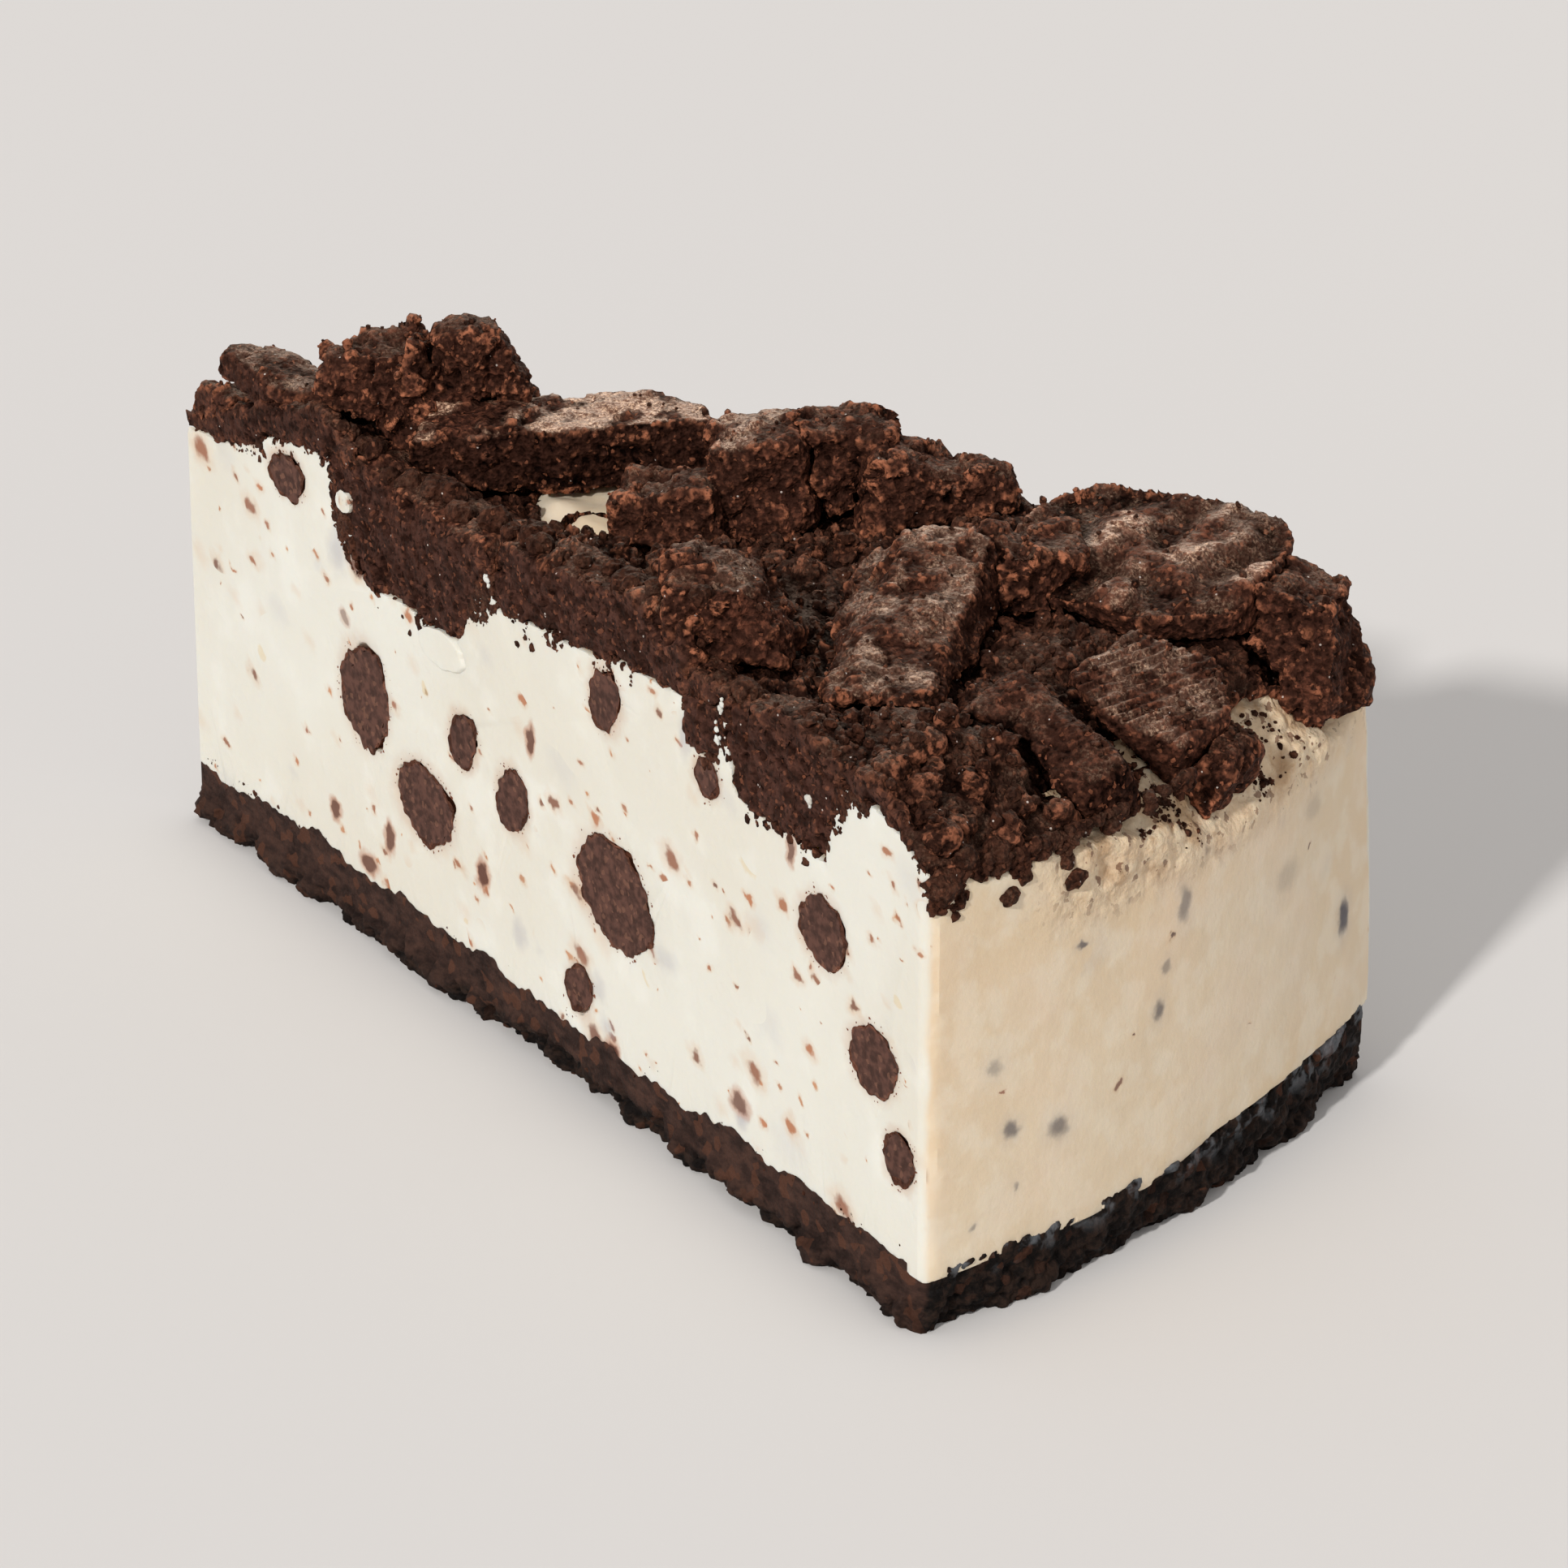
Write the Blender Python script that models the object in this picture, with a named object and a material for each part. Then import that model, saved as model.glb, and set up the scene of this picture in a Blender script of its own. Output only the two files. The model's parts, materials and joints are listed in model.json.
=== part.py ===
"""One slice of a cookies and cream cheesecake: a crumb base, a thick cream filling with bits of
dark biscuit in it, and a topping of broken biscuit pieces that lie in a bed of crumbs.

The slice is modelled as one cut out of a round cake. Its tip is at X = 0 of the empty that carries
the objects, its middle line runs along +X to the rim, and the base stands on Z = 0. The empty is
moved back by half the cake's radius, so that the origin is under the middle of the slice.
Lengths in this file are in millimetres and angles in degrees, until a mesh is made of them.
"""

import math
import random

import bmesh
import bpy
from mathutils import Euler, Matrix, Vector, noise
from mathutils.geometry import delaunay_2d_cdt

MM = 0.001

# Driving dimensions of the cake and the slice
CAKE_RADIUS = 125.0
SLICES_PER_CAKE = 12
CREAM_HEIGHT = 43.3
CRUST_THICKNESS = 6.3
CRUST_LIFT_AT_FAR_CORNER = 1.6
GAP = 0.3
SLIVER = 0.05
MITRE_LIMIT = 1.8

# The cream's top: its height above CREAM_HEIGHT at distances from the tip
CREAM_TOP = ((0.0, -1.3), (7.0, -0.6), (12.0, 1.2), (18.0, 3.8), (25.0, 5.0), (33.0, 4.4),
             (60.0, 3.6), (87.0, 5.8), (100.0, 5.2), (117.0, 5.2), (121.0, 4.0), (125.0, 1.6))
RIM_LEAN = 1.6
SHOULDER_WIDTH = 12.0
SHOULDER_DROP = 6.0
HOLLOW_BEHIND_CUT = 7.0
HOLLOW_DEPTH = 1.7
SHOULDER_MIDDLE = 3.0
SHOULDER_SPREAD = 7.0

# The bed of crumbs on the cream
BED_THICKNESS = 1.9
BED_THIN_EDGE = 1.1
BED_RIM = 124.6
BED_BLOCK_DEPTH = 10.0
BED_RIM_BITE = 6.0

# Mounds of crumbs between the pieces: x, y, radius and height
MOUNDS = (
    (8.0, 0.0, 5.0, 2.0), (16.0, -2.0, 7.0, 2.4), (26.0, -5.0, 6.0, 3.4), (40.0, -7.0, 6.0, 2.2),
    (37.0, 6.0, 6.0, 1.5), (58.0, -9.0, 6.0, 2.4), (70.0, -1.0, 7.0, 1.2), (74.0, -13.0, 6.0, 2.0),
    (60.0, 12.0, 7.0, 2.0), (90.0, 14.0, 8.0, 2.6), (101.0, -23.0, 7.0, 2.0),
    (111.0, -20.0, 8.0, 2.4), (103.0, 2.0, 7.0, 1.4), (112.0, 18.0, 8.0, 2.0),
    (100.0, 24.0, 8.0, 2.0),
)

# Places where the cream shows through the bed: x, y and radius
BARE_SPOTS = ((54.6, -1.2, 4.6), (70.0, 6.6, 2.3))

# How finely the surfaces are divided
EDGE_STEP = 3.2
CREAM_STEP = 5.5
BED_STEP = 5.0
RIM_STEPS = 22
LUMP_STEP = 1.0
BIT_FACES_KEPT = 0.42

# The tip is cut off where the slice is this far from its point
TIP_CUT = 0.8

# How far the tool that trims the pieces stands past the rim, and where it starts above the board
TRIM_PAST_RIM = 1.2
TRIM_FLOOR = 1.0

# The crust's edge: shares of its thickness, how far it falls back below, and how unevenly
CRUST_LEVELS = (0.0, 0.3, 0.62, 1.0)
CRUST_EDGE_DEPTH = 1.3
CRUST_EDGE_ROUGHNESS = 1.6
CRUST_FOOT = 0.35

# Sizes and heights of the waves on the surfaces
CREAM_WAVES = (9.0, 0.8)
BED_WAVES = (5.0, 1.6)
LUMP_WAVES = (5.5, 2.4)
RIM_WAVES = (2.0, 0.8)

# Lumps of broken biscuit: name, length, width and thickness, the top's scale and shift, the place of
# the middle above CREAM_HEIGHT, the turns about X, Y and Z, the roughness and the triangles
LUMPS = (
    ("chunk_oblong", (17.0, 9.6, 6.5), (0.9, 0.85, 0.0, 0.0),
     (116.2, -11.2, 3.4), (26.0, 17.0, -9.0), 0.6, 130),
    ("chunk_twin_right", (11.6, 10.5, 10.0), (0.75, 0.7, 0.5, 0.5),
     (65.0, 10.4, 8.4), (6.0, -6.0, 38.0), 1.0, 120),
    ("chunk_twin_left", (13.5, 9.5, 8.5), (0.7, 0.6, 1.0, 0.5),
     (60.0, 3.0, 5.0), (8.0, -8.0, 30.0), 1.0, 110),
    ("chunk_upright", (14.0, 12.5, 15.0), (0.62, 0.6, -3.6, 1.6),
     (86.4, -15.2, 6.2), (6.0, 2.0, 32.0), 0.9, 140),
    ("chunk_centre", (27.0, 18.0, 11.0), (0.92, 0.42, 0.0, 3.0),
     (94.6, -6.6, 5.2), (-4.0, 14.0, -65.0), 0.9, 200),
    ("chunk_between", (13.0, 10.0, 10.0), (0.65, 0.65, 0.0, 0.0),
     (96.8, 10.4, 6.8), (10.0, 10.0, 60.0), 1.3, 120),
    ("chunk_peak", (13.4, 8.5, 13.5), (0.52, 0.5, -0.8, -0.5),
     (34.8, 5.5, 10.4), (0.0, 2.0, 38.0), 1.0, 120),
    ("chunk_peak_front", (13.0, 10.5, 13.0), (0.75, 0.5, 1.4, 1.2),
     (27.2, -1.0, 8.4), (4.0, -16.0, 30.0), 1.0, 120),
    ("shard_tip", (17.0, 7.0, 3.4), (0.92, 0.85, 0.0, 0.0),
     (15.3, -1.2, 7.7), (4.0, 3.0, 8.0), 0.5, 90),
    ("chunk_back_middle", (15.0, 7.5, 7.5), (0.86, 0.75, 0.0, 0.3),
     (80.4, 18.6, 8.3), (4.0, 6.0, 41.0), 0.9, 120),
    ("chunk_back_left", (13.0, 8.0, 11.0), (0.75, 0.7, -0.4, 0.0),
     (70.4, 15.8, 8.8), (2.0, 5.0, 38.0), 1.0, 120),
    ("chunk_corner", (12.0, 11.5, 11.0), (0.7, 0.7, -0.6, 0.0),
     (116.8, 23.8, 3.2), (-6.0, 10.0, 20.0), 1.3, 150),
    ("chunk_rim_low", (7.0, 8.0, 5.6), (0.7, 0.8, 0.0, 0.0),
     (121.4, 5.4, -1.4), (0.0, 25.0, 5.0), 0.9, 70),
    ("chunk_tip", (8.5, 6.0, 6.6), (0.8, 0.8, 0.0, 0.0),
     (6.0, 0.0, 1.4), (0.0, 4.0, 0.0), 0.7, 80),
)

# Pieces that the near cut goes through: name, size, the top's scale and shift, distance from the
# tip, height above CREAM_HEIGHT, tilt along the cut, depth of the middle, triangles
CUT_PIECES = (
    ("slab_cut_middle", (32.0, 6.0, 7.0), (1.0, 0.8, 0.0, 0.3), 72.0, 6.0, 7.5, 2.2, 130),
    ("chunk_cut_left", (17.0, 6.6, 11.4), (1.75, 0.9, 0.0, 0.4), 41.4, 0.6, -2.0, 2.6, 130),
    ("chunk_cut_right", (14.0, 7.0, 9.0), (1.25, 0.9, 0.0, 0.6), 103.0, 1.8, -4.0, 2.6, 110),
    ("chunk_cut_small", (5.4, 4.6, 5.6), (1.2, 0.9, 0.0, 0.0), 90.6, 2.4, 0.0, 1.8, 60),
)
CUT_PIECE_ROUGHNESS = 0.8

# Broken biscuits: name, corners, thickness, middle, turns, roughness, triangles
BISCUITS = (
    ("biscuit_ridged",
     ((-6.6, -3.8), (-1.0, -6.6), (6.4, -5.0), (7.0, 2.8), (2.0, 7.0), (-5.0, 5.0)), 4.2,
     (116.2, 3.2, 3.8), (10.0, 20.0, 12.0), 0.25, 110),
    ("biscuit_embossed",
     ((-13.0, -3.0), (-7.0, -8.5), (3.0, -10.8), (10.5, -8.0), (13.2, 0.0), (11.5, 7.6),
      (4.0, 11.4), (-4.0, 10.8), (-10.5, 6.0)), 5.4,
     (102.8, 19.4, 7.2), (11.0, -1.0, 22.0), 0.45, 180),
    ("slab_long",
     ((-14.5, -4.2), (-4.0, -4.6), (8.0, -4.2), (14.4, -4.6), (13.4, 3.6), (3.0, 4.6),
      (-12.0, 3.8)), 6.6,
     (44.4, 6.2, 7.3), (0.0, -5.0, 40.0), 0.55, 150),
)

# The order in which pieces keep their whole form: each is cut clear of those before it
ORDER = ("biscuit_ridged", "chunk_oblong", "biscuit_embossed", "slab_long", "chunk_twin_right",
         "chunk_twin_left", "chunk_upright", "chunk_centre", "chunk_between", "chunk_peak",
         "chunk_peak_front", "shard_tip", "chunk_back_middle", "chunk_back_left", "chunk_corner",
         "chunk_rim_low", "chunk_tip", "slab_cut_middle", "chunk_cut_left", "chunk_cut_right",
         "chunk_cut_small")

# Bits of biscuit in the filling that the near cut goes through: distance from the tip, height,
# width, height of the bit and its tilt on the face
NEAR_BITS = (
    (33.5, 26.1, 8.2, 10.4, 6.0), (50.8, 28.4, 3.6, 6.0, 32.0), (75.1, 41.9, 4.2, 6.2, 30.0),
    (43.7, 19.0, 10.0, 7.4, 0.0), (59.2, 25.6, 4.8, 6.2, 26.0), (76.6, 23.5, 12.0, 10.0, 24.0),
    (109.6, 33.6, 6.8, 6.2, 30.0), (117.2, 24.1, 6.8, 5.9, 10.0), (121.2, 16.2, 4.0, 4.6, 8.0),
    (70.2, 10.7, 3.6, 5.2, 20.0), (19.7, 44.0, 6.6, 4.0, -12.0), (91.5, 40.9, 3.4, 3.2, 0.0),
)

# The same on the far cut, which the photograph doesn't show
FAR_BITS = (
    (28.0, 30.5, 6.0, 7.5, 10.0), (47.0, 20.5, 9.0, 8.0, -14.0), (61.0, 34.0, 4.2, 6.2, 22.0),
    (79.0, 26.0, 8.0, 9.5, 18.0), (95.0, 36.5, 5.2, 5.6, -20.0), (101.0, 16.5, 6.8, 6.0, 12.0),
    (115.5, 29.0, 4.8, 6.6, 24.0),
)

# Grains fused to the bed: how many, and the least and largest size
CRUMBS = 30
CRUMB_SIZES = (1.8, 3.4)
CRUMB_TRIES = 4000
CRUMB_SEED = 12

# Single grains on the edge of the bed at the rim: bearing, distance from the tip and size
RIM_CRUMBS = ((-13.9, 123.0, 3.6), (-10.6, 123.4, 3.0), (-7.6, 122.8, 3.2), (-12.4, 122.0, 2.2),
              (-5.2, 119.4, 2.4))

CREAM_COLOUR = (0.86, 0.78, 0.62)
CRUST_COLOUR = (0.030, 0.017, 0.012)
CRUMB_COLOUR = (0.050, 0.024, 0.017)
BISCUIT_COLOUR = (0.060, 0.028, 0.020)
INCLUSION_COLOUR = (0.075, 0.038, 0.028)

HALF_ANGLE = math.radians(180.0 / SLICES_PER_CAKE)
SIDE = math.cos(HALF_ANGLE), math.sin(HALF_ANGLE)


def near_cut(distance, height, depth=0.0):
    """A point on the near cut face, or depth behind it, at a distance from the tip along the face."""
    x = distance * SIDE[0] + depth * SIDE[1]
    y = depth * SIDE[0] - distance * SIDE[1]
    return Vector((x, y, height))


def far_cut(distance, height, depth=0.0):
    """The same on the far cut face, which is the near one mirrored."""
    point = near_cut(distance, height, depth)
    return Vector((point.x, -point.y, point.z))


def material(name, colour, roughness):
    made = bpy.data.materials.new(name)
    made.use_nodes = True
    shader = made.node_tree.nodes["Principled BSDF"]
    shader.inputs["Base Color"].default_value = (*colour, 1.0)
    shader.inputs["Roughness"].default_value = roughness
    shader.inputs["Metallic"].default_value = 0.0
    return made


def object_of(name, shape, finish=None):
    """A new object from a bmesh in millimetres, which it frees."""
    bmesh.ops.recalc_face_normals(shape, faces=shape.faces)
    if shape.calc_volume(signed=True) < 0.0:
        bmesh.ops.reverse_faces(shape, faces=shape.faces)
    bmesh.ops.scale(shape, vec=(MM, MM, MM), verts=shape.verts)
    mesh = bpy.data.meshes.new(name)
    shape.to_mesh(mesh)
    shape.free()
    made = bpy.data.objects.new(name, mesh)
    bpy.context.scene.collection.objects.link(made)
    if finish:
        mesh.materials.append(finish)
    return made


def cutter(obj):
    """Marks an object as a helper that isn't part of the slice."""
    obj.hide_render = True
    obj.display_type = "WIRE"
    return obj


def evaluated_mesh(obj):
    graph = bpy.context.evaluated_depsgraph_get()
    return bpy.data.meshes.new_from_object(obj.evaluated_get(graph))


def swap_mesh(obj, mesh):
    old = obj.data
    obj.modifiers.clear()
    obj.data = mesh
    bpy.data.meshes.remove(old)


def apply_modifiers(obj):
    swap_mesh(obj, evaluated_mesh(obj))


def closed_volume(mesh):
    """The volume of a mesh in cubic millimetres, or None where it isn't one closed surface."""
    shape = bmesh.new()
    shape.from_mesh(mesh)
    closed = len(shape.faces) > 3 and all(edge.is_manifold for edge in shape.edges)
    volume = shape.calc_volume(signed=True) / MM**3
    shape.free()
    return volume if closed else None


def boolean(obj, other, operation):
    """Applies a Boolean, with the second solver where the first leaves a hole or loses the piece."""
    before = closed_volume(obj.data)
    taken = closed_volume(other.data) or 0.0
    for solver in ("EXACT", "MANIFOLD"):
        change = obj.modifiers.new(operation.title(), "BOOLEAN")
        change.operation = operation
        change.object = other
        change.solver = solver
        result = evaluated_mesh(obj)
        after = closed_volume(result)
        lost = before - after if after is not None else None
        if lost is not None and (operation == "INTERSECT" or -1.0 < lost < taken + 1.0):
            swap_mesh(obj, result)
            return
        obj.modifiers.clear()
        bpy.data.meshes.remove(result)
    raise RuntimeError(f"{obj.name} can't be cut by {other.name}")


def remove(obj):
    mesh = obj.data
    bpy.data.objects.remove(obj)
    bpy.data.meshes.remove(mesh)


def islands_of(shape):
    """The connected sets of faces of a bmesh."""
    left = set(shape.faces)
    found = []
    while left:
        island = {left.pop()}
        edge_of_island = list(island)
        while edge_of_island:
            face = edge_of_island.pop()
            for edge in face.edges:
                fresh = [other for other in edge.link_faces if other in left]
                left.difference_update(fresh)
                island.update(fresh)
                edge_of_island.extend(fresh)
        found.append(island)
    return found


def box_size(island):
    points = [vert.co for face in island for vert in face.verts]
    sides = [max(p[axis] for p in points) - min(p[axis] for p in points) for axis in range(3)]
    return sum(sides)


def keep_largest_body(obj):
    """Drops the scraps that a cut leaves loose."""
    shape = bmesh.new()
    shape.from_mesh(obj.data)
    islands = islands_of(shape)
    if len(islands) > 1:
        largest = max(islands, key=box_size)
        scraps = [face for island in islands if island is not largest for face in island]
        bmesh.ops.delete(shape, geom=scraps, context="FACES")
    bmesh.ops.triangulate(shape, faces=shape.faces)
    shape.to_mesh(obj.data)
    drop_slivers(obj, shape)
    shape.free()


def drop_slivers(obj, shape):
    """Merges the points that a cut leaves close together, where the mesh stays closed."""
    bmesh.ops.remove_doubles(shape, verts=shape.verts, dist=SLIVER * MM)
    bmesh.ops.dissolve_degenerate(shape, dist=SLIVER * MM, edges=shape.edges)
    bmesh.ops.triangulate(shape, faces=shape.faces)
    before = obj.data.copy()
    shape.to_mesh(obj.data)
    if closed_volume(obj.data) is None:
        swap_mesh(obj, before)
    else:
        bpy.data.meshes.remove(before)


def grown_copy(obj, gap=GAP):
    """A cutter that stands the gap proud of the object all over."""
    shape = bmesh.new()
    shape.from_mesh(obj.data)
    shape.normal_update()
    steps = [gap * MM * min(vert.calc_shell_factor(), MITRE_LIMIT) for vert in shape.verts]
    for vert, step in zip(shape.verts, steps):
        vert.co += vert.normal * step
    mesh = bpy.data.meshes.new(obj.name + "_cutter")
    shape.to_mesh(mesh)
    shape.free()
    made = bpy.data.objects.new(mesh.name, mesh)
    bpy.context.scene.collection.objects.link(made)
    return cutter(made)


def boxes_meet(first, second, margin=0.5 * MM):
    for axis in range(3):
        a = [vert.co[axis] for vert in first.data.vertices]
        b = [vert.co[axis] for vert in second.data.vertices]
        if max(a) + margin < min(b) or max(b) + margin < min(a):
            return False
    return True


def cut_clear_of(obj, others):
    """Cuts an object so that it keeps the gap to each of the others that it meets."""
    for other in others:
        if not boxes_meet(obj, other):
            continue
        tool = grown_copy(other)
        boolean(obj, tool, "DIFFERENCE")
        remove(tool)
    keep_largest_body(obj)


def smooth_step(value, low, high):
    share = min(max((value - low) / (high - low), 0.0), 1.0)
    return share * share * (3.0 - 2.0 * share)


def along(table, distance):
    """The height at a distance, on smooth steps between the points of a table."""
    for (x0, z0), (x1, z1) in zip(table, table[1:]):
        if distance <= x1:
            return z0 + (z1 - z0) * smooth_step(distance, x0, x1)
    return table[-1][1]


def bumps(x, y, size, height, seed):
    return height * noise.noise(Vector((x / size, y / size, seed)))


def bearing(x, y):
    return math.degrees(math.atan2(y, x))


def shoulder_drop(x, y):
    """How far the cream's top falls near the rim, most where no crumbs cover it."""
    inward = CAKE_RADIUS - math.hypot(x, y)
    share = 1.0 - smooth_step(inward, 0.0, SHOULDER_WIDTH)
    bare = math.exp(-(((bearing(x, y) - SHOULDER_MIDDLE) / SHOULDER_SPREAD) ** 2))
    far = smooth_step(bearing(x, y), 6.0, 12.0)
    return share * SHOULDER_DROP * max(bare, 1.1 * far)


def cream_top(x, y):
    behind_cut = x * SIDE[1] - abs(y) * SIDE[0]
    hollow = HOLLOW_DEPTH * smooth_step(behind_cut, 0.0, HOLLOW_BEHIND_CUT)
    height = along(CREAM_TOP, math.hypot(x, y)) - shoulder_drop(x, y) - hollow
    return CREAM_HEIGHT + height + bumps(x, y, *CREAM_WAVES, 3.0)


def crust_top(x, y):
    lift = smooth_step(x, 60.0, CAKE_RADIUS) * smooth_step(bearing(x, y), -8.0, 14.0)
    return CRUST_THICKNESS + CRUST_LIFT_AT_FAR_CORNER * lift


def rim_lean(angle):
    """How far the cream's rim leans in at its top, at a bearing."""
    return RIM_LEAN * smooth_step(angle, 0.0, 15.0)


def bed_rim(angle):
    """How far out the bed reaches at a bearing: it stops short where the cream's shoulder is bare."""
    bare = math.exp(-(((angle - SHOULDER_MIDDLE) / SHOULDER_SPREAD) ** 2))
    short = BED_RIM_BITE * bare + rim_lean(angle)
    size, depth = RIM_WAVES
    return BED_RIM - short + depth * noise.noise(Vector((angle / size, 0.0, 7.0)))


def bed_top(x, y):
    height = BED_THICKNESS + bumps(x, y, *BED_WAVES, 11.0)
    for mound_x, mound_y, radius, extra in MOUNDS:
        apart = math.hypot(x - mound_x, y - mound_y) / (0.5 * radius)
        height += extra * math.exp(-0.5 * apart**2)
    inward = bed_rim(bearing(x, y)) - math.hypot(x, y)
    share = smooth_step(inward, 0.0, 7.0)
    return cream_top(x, y) + BED_THIN_EDGE + (max(height, 1.2) - BED_THIN_EDGE) * share


def slice_outline(step, rim=None, tip_cut=TIP_CUT):
    """The slice from above, anticlockwise: near cut, rim, far cut. rim is the radius at a bearing."""
    rim = rim or (lambda angle: CAKE_RADIUS)
    limit = math.degrees(HALF_ANGLE)
    near_end = rim(-limit)
    far_end = rim(limit)
    count = round(near_end / step)
    near = [near_cut(tip_cut + (near_end - tip_cut) * i / count, 0.0).xy for i in range(count)]
    angles = [-limit + 2.0 * limit * i / RIM_STEPS for i in range(RIM_STEPS + 1)]
    arc = [Vector((math.cos(math.radians(a)), math.sin(math.radians(a)))) * rim(a) for a in angles]
    far = [far_cut(tip_cut + (far_end - tip_cut) * i / count, 0.0).xy for i in range(count)]
    return near + arc + far[::-1]


def inside_points(outline, step, margin):
    """Points of a triangular lattice inside the slice, clear of its edges."""
    reach = max(point.length for point in outline) - margin
    points = []
    row = 0
    x = margin
    while x < reach:
        y = -CAKE_RADIUS * SIDE[1] + (row % 2) * step / 2.0
        while y < CAKE_RADIUS * SIDE[1]:
            point = Vector((x, y))
            if point.length < reach and abs(y) * SIDE[0] < x * SIDE[1] - margin:
                points.append(point)
            y += step
        x += step * math.sqrt(0.75)
        row += 1
    return points


def lid(outline, shape, ring, lift=0.0):
    """Closes a ring of points at the crust's top by a fan about the middle of the outline."""
    middle = sum(outline, Vector((0.0, 0.0))) / len(outline)
    centre = shape.verts.new((middle.x, middle.y, crust_top(middle.x, middle.y) + lift))
    for i in range(len(ring)):
        shape.faces.new((ring[i], ring[(i + 1) % len(ring)], centre))


def layer(outline, step, margin, top, bottom=None):
    """A closed solid over an outline, with upright sides and a top of the given heights. Its underside
    is flat at the height given, or else lies the gap above the crust."""
    points = outline + inside_points(outline, step, margin)
    count = len(outline)
    edges = [(i, (i + 1) % count) for i in range(count)]
    flat, _, triangles, *_ = delaunay_2d_cdt(points, edges, [list(range(count))], 1, 1e-6)
    shape = bmesh.new()
    upper = [shape.verts.new((p.x, p.y, top(p.x, p.y))) for p in flat]
    heights = [crust_top(p.x, p.y) + GAP if bottom is None else bottom for p in outline]
    lower = [shape.verts.new((p.x, p.y, height)) for p, height in zip(outline, heights)]
    for triangle in triangles:
        shape.faces.new([upper[i] for i in triangle])
    for i, j in edges:
        shape.faces.new((lower[i], lower[j], upper[j], upper[i]))
    if bottom is None:
        lid(outline, shape, lower, GAP)
    else:
        shape.faces.new(lower[::-1])
    return shape


def make_crust(finish):
    """The base: a flush upper edge, and below it a crumbly edge that falls back from the cut."""
    outline = slice_outline(EDGE_STEP)
    middle = sum(outline, Vector((0.0, 0.0))) / len(outline)
    shape = bmesh.new()
    rings = []
    for level, share in enumerate(CRUST_LEVELS):
        ring = []
        for index, point in enumerate(outline):
            rough = noise.noise(Vector((index * 0.9, level * 3.1, 5.0)))
            back = (1.0 - share) ** 1.5 * (CRUST_EDGE_DEPTH + CRUST_EDGE_ROUGHNESS * rough)
            back += CRUST_FOOT if level == 0 else 0.0
            inward = middle - point
            place = point + inward.normalized() * max(back, 0.0)
            ring.append(shape.verts.new((place.x, place.y, share * crust_top(point.x, point.y))))
        rings.append(ring)
    for lower, upper in zip(rings, rings[1:]):
        for i in range(len(outline)):
            j = (i + 1) % len(outline)
            shape.faces.new((lower[i], lower[j], upper[j], upper[i]))
    shape.faces.new(rings[0][::-1])
    lid(outline, shape, rings[-1])
    return object_of("crust", shape, finish)


def make_filling(finish):
    """The cream, whose rim leans in towards the far corner."""
    shape = layer(slice_outline(EDGE_STEP), CREAM_STEP, 3.0, cream_top)
    for vert in shape.verts:
        reach = vert.co.xy.length
        if reach > CAKE_RADIUS - 0.5 and vert.co.z > CREAM_HEIGHT / 2.0:
            vert.co.xy *= (reach - rim_lean(bearing(vert.co.x, vert.co.y))) / reach
    return object_of("filling", shape, finish)


def broken_block(name, size, top, seed, rough, triangles):
    """A broken lump: a block whose top is scaled and shifted, rounded, roughened and cut to few faces."""
    length, width, thickness = size
    scale_x, scale_y, shift_x, shift_y = top
    shape = bmesh.new()
    for sign_x in (-0.5, 0.5):
        for sign_y in (-0.5, 0.5):
            shape.verts.new((sign_x * length, sign_y * width, -thickness / 2.0))
            x = sign_x * length * scale_x + shift_x
            y = sign_y * width * scale_y + shift_y
            shape.verts.new((x, y, thickness / 2.0))
    bmesh.ops.convex_hull(shape, input=shape.verts)
    return roughened(name, shape, seed, rough, triangles)


def broken_biscuit(name, corners, thickness, seed, rough, triangles):
    """A broken flat biscuit: an outline of a few corners with an even thickness."""
    shape = bmesh.new()
    face = shape.faces.new([shape.verts.new((x, y, -thickness / 2.0)) for x, y in corners])
    grown = bmesh.ops.extrude_face_region(shape, geom=[face])
    for vert in (item for item in grown["geom"] if isinstance(item, bmesh.types.BMVert)):
        vert.co.z = thickness / 2.0
    return roughened(name, shape, seed, rough, triangles)


def roughened(name, shape, seed, rough, triangles):
    piece = object_of(name, shape)
    remesh = piece.modifiers.new("Even", "REMESH")
    remesh.mode = "VOXEL"
    remesh.voxel_size = LUMP_STEP * MM
    apply_modifiers(piece)
    mesh = piece.data
    normals = [vert.normal.copy() for vert in mesh.vertices]
    for vert, normal in zip(mesh.vertices, normals):
        spot = vert.co / MM + Vector((seed * 17.0, seed * 5.0, 0.0))
        push = noise.noise(spot / LUMP_WAVES[0]) + 0.5 * noise.noise(spot / LUMP_WAVES[1])
        vert.co += normal * push * rough * MM
    fewer = piece.modifiers.new("Fewer", "DECIMATE")
    fewer.ratio = min(1.0, triangles / (2.0 * len(mesh.polygons)))
    apply_modifiers(piece)
    return piece


def placed(piece, at, turn):
    """Turns a piece about its own middle and moves it to its place above the cream's nominal top."""
    angles = Euler([math.radians(angle) for angle in turn])
    place = Vector((at[0], at[1], at[2] + CREAM_HEIGHT)) * MM
    piece.data.transform(Matrix.Translation(place) @ angles.to_matrix().to_4x4())
    return piece


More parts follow.
